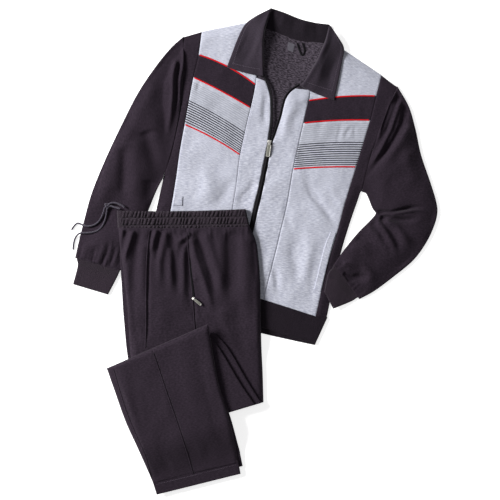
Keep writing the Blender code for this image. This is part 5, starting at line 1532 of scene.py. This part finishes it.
THIGH_CREASES = crease_table(
    ((-318, 53), (-323, 22), 4, 3, 0),
    ((-308, 51), (-315, 20), (-320, -12), 5, -4.5, 0),
    ((-291, 53), (-298, 27), (-308, -2), (-317, -40), 6, 6.3, 0),
    ((-281, 48), (-286, 3), (-291, -57), (-291, -141), 9, -5.4, 0),
    ((-269, 20), (-269, -45), (-269, -146), 10, 3.6, 0),
    ((-245, 51), (-255, 22), 5, -3, 0),
    ((-236, 53), (-243, 27), (-250, -7), 5.5, 5.7, 0),
    ((-226, 51), (-233, 17), (-236, -31), 5.5, -4.5, 0),
    ((-212, 51), (-221, 12), (-228, -26), (-228, -93), 8, 5.1, 0),
    ((-197, 12), (-202, -40), (-200, -112), 9, 5.1, 0),
    ((-202, 48), (-195, 3), (-188, -50), (-183, -117), 8, -6.9, 0),
    ((-154, 44), (-176, 27), (-192, 20), 5.5, 4.8, 0),
    ((-164, 27), (-178, 8), (-183, -31), 6, -3.6, 0),
    ((-173, 8), (-171, -57), (-173, -136), 7, 3.3, 0),
    ((-161, 22), (-159, -45), (-156, -108), (-149, -170), 6, -6, 0),
    ((-156, 41), (-144, -7), (-128, -55), (-111, -108), (-99, -170), 8, 8.1, 0),
    ((-142, -64), (-135, -112), (-123, -170), 9, -5.1, 0),
    ((-142, 51), (-125, 3), (-108, -50), (-92, -112), 7, -6.6, 0),
    ((-118, 53), (-104, 3), (-87, -57), (-77, -122), 9, 4.5, 0),
    ((-82, 51), (-80, -26), (-77, -132), 12, 3.3, 0),
    ((-56, 53), (-53, 3), (-56, -60), (-58, -132), 14, -6.6, 0),
    ((-27, 41), (-22, -45), (-22, -156), 15, 4.2, 0),
    ((-3, 27), (2, -84), 8, -3.3, 0),
    ((-80, -132), (-72, -280), 16, 3, 0),
    ((-41, -117), (-32, -300), 16, -2.4, 0),
    ((-298, -84), (-284, -237), 9, -3, 0),
    ((-228, -108), (-214, -213), 20, 2.1, 0),
    ((-247, 52), (-252, 10), (-255, -40), (-256, -100), (-256, -170), (-258, -300), 3.6, -2.8, 0),
    ((-158, 42), (-155, 0), (-151, -52), (-146, -100), (-142, -230), 4.2, -3.4, 0),
)
SHIN_CREASES = (
    Fold(-326, -300, -284, -420, 10, 1.3),
    Fold(-276, -300, -236, -440, 14, -1.3),
    Fold(-230, -300, -196, -420, 12, 1.2),
    Fold(-120, -230, -96, -360, 12, 1.2),
    Fold(-110, -380, -76, -470, 11, -1.2),
    Fold(-216, -460, -190, -540, 10, 1.3),
    Fold(-160, -420, -120, -500, 13, 1.2),
)
WAIST_GATHERS = gathers_beside(Section(-14, 55, -329, 52, 0), 29, 1.5, 3.2)


def trouser_seat(x, y):
    """The underside of the folded trousers: on the jacket, then down to the floor past its lower edge."""
    a, b = JACKET_END
    below = ((x - a.x) * (b.y - a.y) - (y - a.y) * (b.x - a.x)) / math.hypot(b.x - a.x, b.y - a.y)
    return (CROWN + LAYER_GAP) * (1 - smooth((below - DRAPE_START) / JACKET_DRAPE))


def thigh_form(x, y):
    """The upper leg's outer face before its folds, lower towards its outline."""
    inside = -beyond(THIGH_OUTLINE, x, y)
    return trouser_seat(x, y) + LEG_PAIR - EDGE_DROP * (1 - smooth(inside / 14))


# The deepest that a trough of the upper leg may sink
THIGH_TROUGH = 5.4


def thigh_top(x, y):
    """The outer face of the upper leg, plain under the turned-back length."""
    clear = smooth((beyond(RETURN_REACH, x, y) - 6) / 26)
    folds = drawn_creases(THIGH_CREASES, x, y) + creases(WAIST_GATHERS, x, y)
    folds = folds + creases(TROUSER_FOLDS, x, y) * MAIN_SHARE + rumple(x, y, 0.9)
    folds = folds * clear * smooth(-beyond(THIGH_OUTLINE, x, y) / 12)
    return thigh_form(x, y) + np.where(folds < 0, THIGH_TROUGH * np.tanh(folds / THIGH_TROUGH), folds)


def return_floor(x, y):
    """The underside of the turned-back length: on the upper leg, and down to the floor past its edge."""
    past = smooth((beyond(THIGH_REACH, x, y) - DRAPE_START) / THIGH_DRAPE)
    return (trouser_seat(x, y) + LEG_PAIR + PILE_GAP) * (1 - past)


def shin_floor(x, y):
    """The underside of the lower leg: on the turned-back length, then down to the floor."""
    on_return = 1 - smooth((beyond(RETURN_REACH, x, y) - DRAPE_START) / SHIN_DRAPE)
    return return_floor(x, y) + (2 * FOLDED_LEG + 2 * PILE_GAP) * on_return


def shin_form(x, y):
    """The lower leg's outer face before its folds."""
    inside = -beyond(SHIN_OUTLINE, x, y)
    return shin_floor(x, y) + LOWER_PAIR - SHIN_DROP * (1 - smooth(inside / 11))


def shin_top(x, y):
    """The outer face of the lower leg."""
    folds = creases(SHIN_FOLDS + SHIN_CREASES, x, y) + rumple(x, y, 0.7)
    return shin_form(x, y) + np.maximum(folds * smooth(-beyond(SHIN_OUTLINE, x, y) / 12), 0.8 - SHIN_HOLLOW)


PILE_LAYERS, PILE_LIP, PILE_NOSE, PILE_SPACING = 2, 3.0, 3.5, 5.0


def layered_pile(name, table, bottom, top, node, first=0.0):
    """Layers of cloth that lie on each other, as one rounded form with a lip at its edges for each layer."""
    layers, lip, nose = PILE_LAYERS, PILE_LIP, PILE_NOSE
    length = path_length([across(section, 0.5) for section in table])
    width = sum(chord(section) for section in table) / len(table)
    bend = np.linspace(0, math.pi / 2, 6)
    ends = nose * (1 - np.cos(bend))
    inner = np.linspace(nose, length - nose, max(int(length / PILE_SPACING), 3))[1:-1]
    downs = np.concatenate([ends, inner, length - ends[::-1]]) / length
    squeeze = np.concatenate([np.sin(bend), np.ones(len(inner)), np.sin(bend[::-1])])
    flat = np.linspace(0, 1, max(int(width / PILE_SPACING), 3) + 1)
    bulge = np.linspace(-0.97, 0.97, 9)
    lips = np.concatenate([-1 + (2 * layer + 1 + bulge) / layers for layer in range(layers)])
    insets = np.tile(lip * (1 - np.sqrt(1 - bulge**2)), layers)
    under = flat[flat <= 0.5][::-1]
    over = flat[flat > 0.5][::-1]
    start = np.concatenate([
        lip * (1 - 2 * under), insets, lip * (1 - 2 * flat), -insets[::-1], lip * (1 - 2 * over),
    ])
    share = np.concatenate([under, insets * 0, flat, insets * 0 + 1, over])
    side = np.concatenate([under * 0 - 1, lips, flat * 0 + 1, lips[::-1], over * 0 - 1])
    start, share, side = (np.append(values, values[0]) for values in (start, share, side))
    bm, column, row = cloth_grid(len(start), len(downs))
    plan = np.empty((len(downs), len(start), 2))
    for k, down in enumerate(downs):
        section = interpolated(table, first + (len(table) - 1 - first) * down)
        plan[k, :, 0], plan[k, :, 1] = across(section, start / chord(section) + share)
    x, y = plan[row, column, 0], plan[row, column, 1]
    low, high = bottom(x, y), top(x, y)
    move_points(bm, x, y, (low + high) / 2 + side[column] * (high - low) / 2 * squeeze[row])
    uvs = np.stack([(start + share * width)[column], (1 - downs[row]) * length], axis=1) * MM
    cloth_piece(name, bm, trouser_knit, uvs, node, weld=True)


# Share of a table row by which the lower leg's upper end reaches past its first row
SHIN_TUCK = -0.1
# Trouser knit: the jacket's dark knit, a little deeper in tone where it lies in thick layers
trouser_knit = cloth_finish("brushed interlock knit, trousers, anthracite", "2A222B", "3A303B", "1C171D",
                            1.6, 1.4, 0.4, 0.9, 0.05, 0.45, (6.0, 2.4))
layered_pile("under_thigh_layers", UNDER_THIGH, trouser_seat,
             lambda x, y: thigh_form(x, y) - 2.2 - LEG_HOLLOW, "under_thigh")
layered_pile("turned_back_lower_layers", RETURN_LOWER, return_floor,
             lambda x, y: return_floor(x, y) + FOLDED_LEG, "turned_back_lower")
layered_pile("turned_back_upper_layers", RETURN_UPPER,
             lambda x, y: return_floor(x, y) + FOLDED_LEG + PILE_GAP,
             lambda x, y: return_floor(x, y) + 2 * FOLDED_LEG + PILE_GAP, "turned_back_upper")
layered_pile("under_shin_layers", UNDER_SHIN, shin_floor,
             lambda x, y: shin_form(x, y) - 2.2 - SHIN_HOLLOW, "under_shin", first=SHIN_TUCK)
for part, table, rolled in (("front", THIGH_FRONT, "lb"), ("back", THIGH_BACK, "rb")):
    laid_panel(f"thigh_{part}_cloth", trouser_knit, table, thigh_top, f"thigh_{part}", first=-0.1,
               spacing=2.6, rolled=rolled, roll=(7.0, 6.0), held="folded", on=["under_thigh_layers"])
for part, table, rolled in (("front", SHIN_FRONT, "lt"), ("back", SHIN_BACK, "rt")):
    laid_panel(f"shin_{part}_cloth", trouser_knit, table, shin_top, f"shin_{part}", first=SHIN_TUCK,
               spacing=2.8, rolled=rolled, roll=(6.5, 5.0), held="folded", on=["under_shin_layers"])

# Pintucks and the side seam: a narrow raised fold of the cloth with a row of stitches beside it
PINTUCK_HALF_WIDTH, PINTUCK_HALF_HEIGHT = 1.5, 1.1
THIGH_PINTUCK = path_of((-252, 51), (-257, 10), (-260, -40), (-261, -100), (-261, -165), (-263, -232))
THIGH_SIDE_SEAM = path_of((-163, 46), (-160, 0), (-156, -52), (-151, -100), (-147, -150), (-144, -190))
SHIN_PINTUCK = path_of((-338, -280), (-322, -336), (-304, -391), (-283, -440), (-262, -488), (-249, -540))
SHIN_SIDE_SEAM = tuple(Line(row.right_x, row.right_y) for row in SHIN_FRONT)
for name, route, surface, offset in (
    ("thigh_pintuck", THIGH_PINTUCK, thigh_top, 3.4),
    ("thigh_side_seam", THIGH_SIDE_SEAM, thigh_top, 5.0),
    ("shin_pintuck", SHIN_PINTUCK, shin_top, 3.4),
    ("shin_side_seam", SHIN_SIDE_SEAM, shin_top, 4.0),
):
    path = dense(route, 2.5)
    tube_along(f"{name}_fold", trouser_knit, on_surface(path, surface, 0.15), PINTUCK_HALF_WIDTH,
               PINTUCK_HALF_HEIGHT, sides=8, slot="anthracite_knit")
    points = [(p.x + offset, p.y) for p in route]
    stitched(f"{name}_stitch", dark_thread, points, surface, "anthracite_knit")


# Trousers: waistband.
# A tube of the rib knit round an elastic, gathered onto it and held by two rows of stitching, so that it
# puckers in three bands.
WAIST_HEIGHT, WAIST_EDGE_RADIUS, GATHERS, GATHER_RISE, ROW_DIP = 14.5, 6.4, 36, 3.2, 2.2
WAIST_SLANT = 0.3
WAIST_ROWS = (80.6, 62.5)
waist_base = level(CROWN + LAYER_GAP)


def waist_height(x, y, inset):
    """Uneven gathers across the band, flattened where each row of stitching holds them."""
    a = WAISTBAND[0]
    width = WAISTBAND[-1].right_x - a.left_x
    band = sum(smooth((row - y + 4 * ((x - a.left_x) / width - 0.4)) / 3 + 0.5) for row in WAIST_ROWS)
    share = (x - a.left_x - WAIST_SLANT * (y - 75) + 4.1 * band) / width
    uneven = share + 0.0045 * np.sin(41 * share + 0.06 * y) + 0.003 * np.sin(97 * share)
    gathers = GATHER_RISE * (0.5 - 0.5 * np.cos(2 * math.pi * GATHERS * uneven)) ** 0.8
    gathers = gathers * (0.8 + 0.3 * np.sin(23 * share + 0.11 * y))
    held = sum(np.exp(-(((y - row - 4 * (share - 0.4)) / 2.2) ** 2)) for row in WAIST_ROWS)
    return WAIST_HEIGHT + gathers * (1 - 0.75 * held) * smooth(inset / 5) - ROW_DIP * held + rumple(x, y, 0.7)


laid_tube("waistband_rib", gathered_rib_painted_highlight, WAISTBAND, waist_base, waist_height, "waistband",
          radius=WAIST_EDGE_RADIUS, spacing=1.3, slot="anthracite_rib", held="gathered",
          on=["jacket_back_cloth"], pinch=3.6, ends=2.6)


def waist_face(x, y):
    """The waistband's outer face, well inside its edges."""
    return waist_base(x, y) + waist_height(x, y, np.full(np.shape(x), 30.0))


for number, row_y in enumerate(WAIST_ROWS, 1):
    points = [(x, row_y + 4 * ((x + 331) / 318 - 0.4)) for x in np.linspace(-322, -24, 30)]
    stitched(f"waistband_stitch_{number}", dark_thread, points, waist_face, "anthracite_rib")


# Trousers: leg hems.
# The two hems lie on each other, each turned up 25 mm and stitched round.
HEM_PAIR = 5.2
LEFT_LEG_HEM = (
    Section(-244, -557, -40, -507, 0),
    Section(-236, -583, -35, -533, 0),
)
RIGHT_LEG_HEM = (
    Section(-246, -534, -36, -485, 0),
    Section(-236, -561, -30, -515, 0),
)


def hem_pair_height(x, y, inset):
    return np.full(np.shape(x), HEM_PAIR) + rumple(x, y, 0.25) * smooth(inset / 6)


def upper_hem_base(x, y):
    return shin_floor(x, y) + HEM_PAIR + LAYER_GAP


for side, table, base, on in (
    ("right", RIGHT_LEG_HEM, shin_floor, ()),
    ("left", LEFT_LEG_HEM, upper_hem_base, ["hem_right_leg_cloth"]),
):
    laid_tube(f"hem_{side}_leg_cloth", trouser_knit, table, base, hem_pair_height, f"hem_{side}_leg",
              radius=HEM_PAIR / 2, pinch=0.3, thickness=1.2, first=-0.3, on=on)
stitched("hem_left_leg_stitch", violet_thread,
         [across(interpolated(LEFT_LEG_HEM, 0.1), share) for share in np.linspace(0.03, 0.97, 12)],
         lambda x, y: upper_hem_base(x, y) + HEM_PAIR, "anthracite_knit")


# Pocket opening of the trousers.
# A short zip set into the side seam, with its tape just showing; its slider and pull are with the others.
POCKET_MOUTH = path_of((-158, -16), (-154, -52), (-150, -84), (-147, -108))
tube_along("pocket_zip_tape", tape_weave, on_surface(dense(POCKET_MOUTH, 2.5), thigh_top, 0.35), 2.3, 0.9,
           sides=8, slot="zip_tape")


# Tie cord.
# A flat-braided cord, drawn out of the waistband's corner as two strands, tied once, with two free ends that
# lie on the sleeve and on the surface.
CORD_DIAMETER = 4.4
CordPoint = namedtuple("CordPoint", "x y z")
TIE_UPPER = (
    CordPoint(-312, 104, 18.6),
    CordPoint(-318, 109, 18.0),
    CordPoint(-329, 114, 16.2),
    CordPoint(-339, 116, 14.8),
    CordPoint(-348, 114, 14.2),
)
TIE_LOWER = (
    CordPoint(-322, 101, 18.6),
    CordPoint(-328, 103, 17.6),
    CordPoint(-335, 105, 15.8),
    CordPoint(-342, 107, 14.4),
    CordPoint(-348, 108, 13.6),
)
END_UPPER = (
    CordPoint(-360, 104, 13.4),
    CordPoint(-363, 94, 12.4),
    CordPoint(-368, 82, 11.8),
    CordPoint(-375, 71, 11.6),
    CordPoint(-386, 63, 11.6),
    CordPoint(-399, 60, 11.4),
    CordPoint(-411, 62, 10.2),
    CordPoint(-420, 66, 6.6),
    CordPoint(-427, 67, 3.6),
    CordPoint(-434, 61, 2.4),
    CordPoint(-441, 51, 2.3),
)
END_LOWER = (
    CordPoint(-354, 102, 13.4),
    CordPoint(-356, 92, 12.4),
    CordPoint(-359, 77, 11.8),
    CordPoint(-366, 61, 11.6),
    CordPoint(-377, 50, 11.6),
    CordPoint(-392, 45, 11.6),
    CordPoint(-406, 44, 11.2),
    CordPoint(-416, 44, 9.6),
    CordPoint(-424, 41, 5.6),
    CordPoint(-431, 33, 2.8),
    CordPoint(-435, 21, 2.3),
    CordPoint(-437, 3, 2.3),
)
KNOT = CordPoint(-355, 110, 14.2)
KNOT_TURNS = 60
BRAID_PITCH, BRAID_DEPTH = 6.0, 0.05


def braid_relief(turn, run):
    """The raised plaits of the braid."""
    one = np.sin(3 * turn + 2 * math.pi * run / BRAID_PITCH)
    other = np.sin(3 * turn - 2 * math.pi * run / BRAID_PITCH)
    return 1 - BRAID_DEPTH + BRAID_DEPTH * one * other


# Braided polyester: dark, matt, with short crossing plaits
braid = cloth_finish("braided polyester cord, anthracite", "3A3540", "5C5663", "242028", 1.2, 1.4, 0.5, 0.8,
                     0.2, 0.6, (1.6, 1.6))
turns = np.linspace(0, 2 * math.pi, KNOT_TURNS + 1)
knot_path = np.column_stack([
    KNOT.x + 1.75 * (np.sin(turns) + 1.7 * np.sin(2 * turns)),
    KNOT.y + 1.75 * (np.cos(turns) - 1.7 * np.cos(2 * turns)),
    KNOT.z + 1.3 * np.sin(3 * turns),
])
knot = tube_along("tie_knot_braid", braid, knot_path, 2.0, 1.9, "tie_knot", sides=10, slot="anthracite_rib",
                  looped=True, relief=braid_relief)
for strand_name, route, nodes in (
    ("tie_upper_strand", TIE_UPPER + END_UPPER, ("tie_cord_upper", "tie_end_upper")),
    ("tie_lower_strand", TIE_LOWER + END_LOWER, ("tie_cord_lower", "tie_end_lower")),
):
    path = dense(route, 1.5)
    strand = tube_along(strand_name, braid, path, CORD_DIAMETER / 2, CORD_DIAMETER / 2, *nodes, sides=12,
                        slot="anthracite_rib", relief=braid_relief)
    length = float(np.sum(np.linalg.norm(np.diff(path, axis=0), axis=1)))


# Floor, light and camera.
# A pale lit table seen from straight above, in soft studio light that comes from the upper left.
CAMERA_HEIGHT, FRAME_WIDTH, SENSOR, FRAME_CENTRE = 5.0, 1.2, 36.0, (-0.0125, 0.0029)
FLOOR_HALF_SIZE = 30.0
# The table is a lit one, which softens the shadows on it
TABLE_GLOW = 0.7

table_paint, shader = blank_material("opal acrylic table top, white")
shader.inputs["Base Color"].default_value = linear("F2F1F0")
shader.inputs["Roughness"].default_value = 0.9
shader.inputs["Emission Color"].default_value = linear("FFFFFF")
shader.inputs["Emission Strength"].default_value = TABLE_GLOW
bm = bmesh.new()
bmesh.ops.create_grid(bm, x_segments=1, y_segments=1, size=FLOOR_HALF_SIZE)
bmesh.ops.translate(bm, vec=(0, 0, -0.0003), verts=bm.verts[:])
floor_mesh = mesh_from("floor", bm)
floor_mesh.materials.append(table_paint)
shown("floor", floor_mesh)

for name, place, size, power in (
    ("key", (-3.9, 1.5, 2.4), 1.7, 440.0),
    ("fill", (2.8, -1.8, 3.2), 2.6, 10.0),
    ("top", (0.3, 0.2, 4.2), 3.0, 14.0),
):
    light = bpy.data.lights.new(name, "AREA")
    light.shape, light.size, light.energy = "DISK", size, power
    lamp = shown(name, light)
    lamp.location = place
    lamp.rotation_euler = (-Vector(place)).to_track_quat("-Z", "Y").to_euler()

world = bpy.data.worlds.new("studio")
world.use_nodes = True
world.node_tree.nodes["Background"].inputs["Color"].default_value = linear("F4F5F8")
world.node_tree.nodes["Background"].inputs["Strength"].default_value = 0.13
bpy.context.scene.world = world
bpy.context.scene.view_settings.view_transform = "Standard"

camera_data = bpy.data.cameras.new("camera")
camera_data.sensor_width = SENSOR
camera_data.lens = SENSOR * CAMERA_HEIGHT / FRAME_WIDTH
camera = shown("camera", camera_data)
camera.location = (*FRAME_CENTRE, CAMERA_HEIGHT)
bpy.context.scene.camera = camera
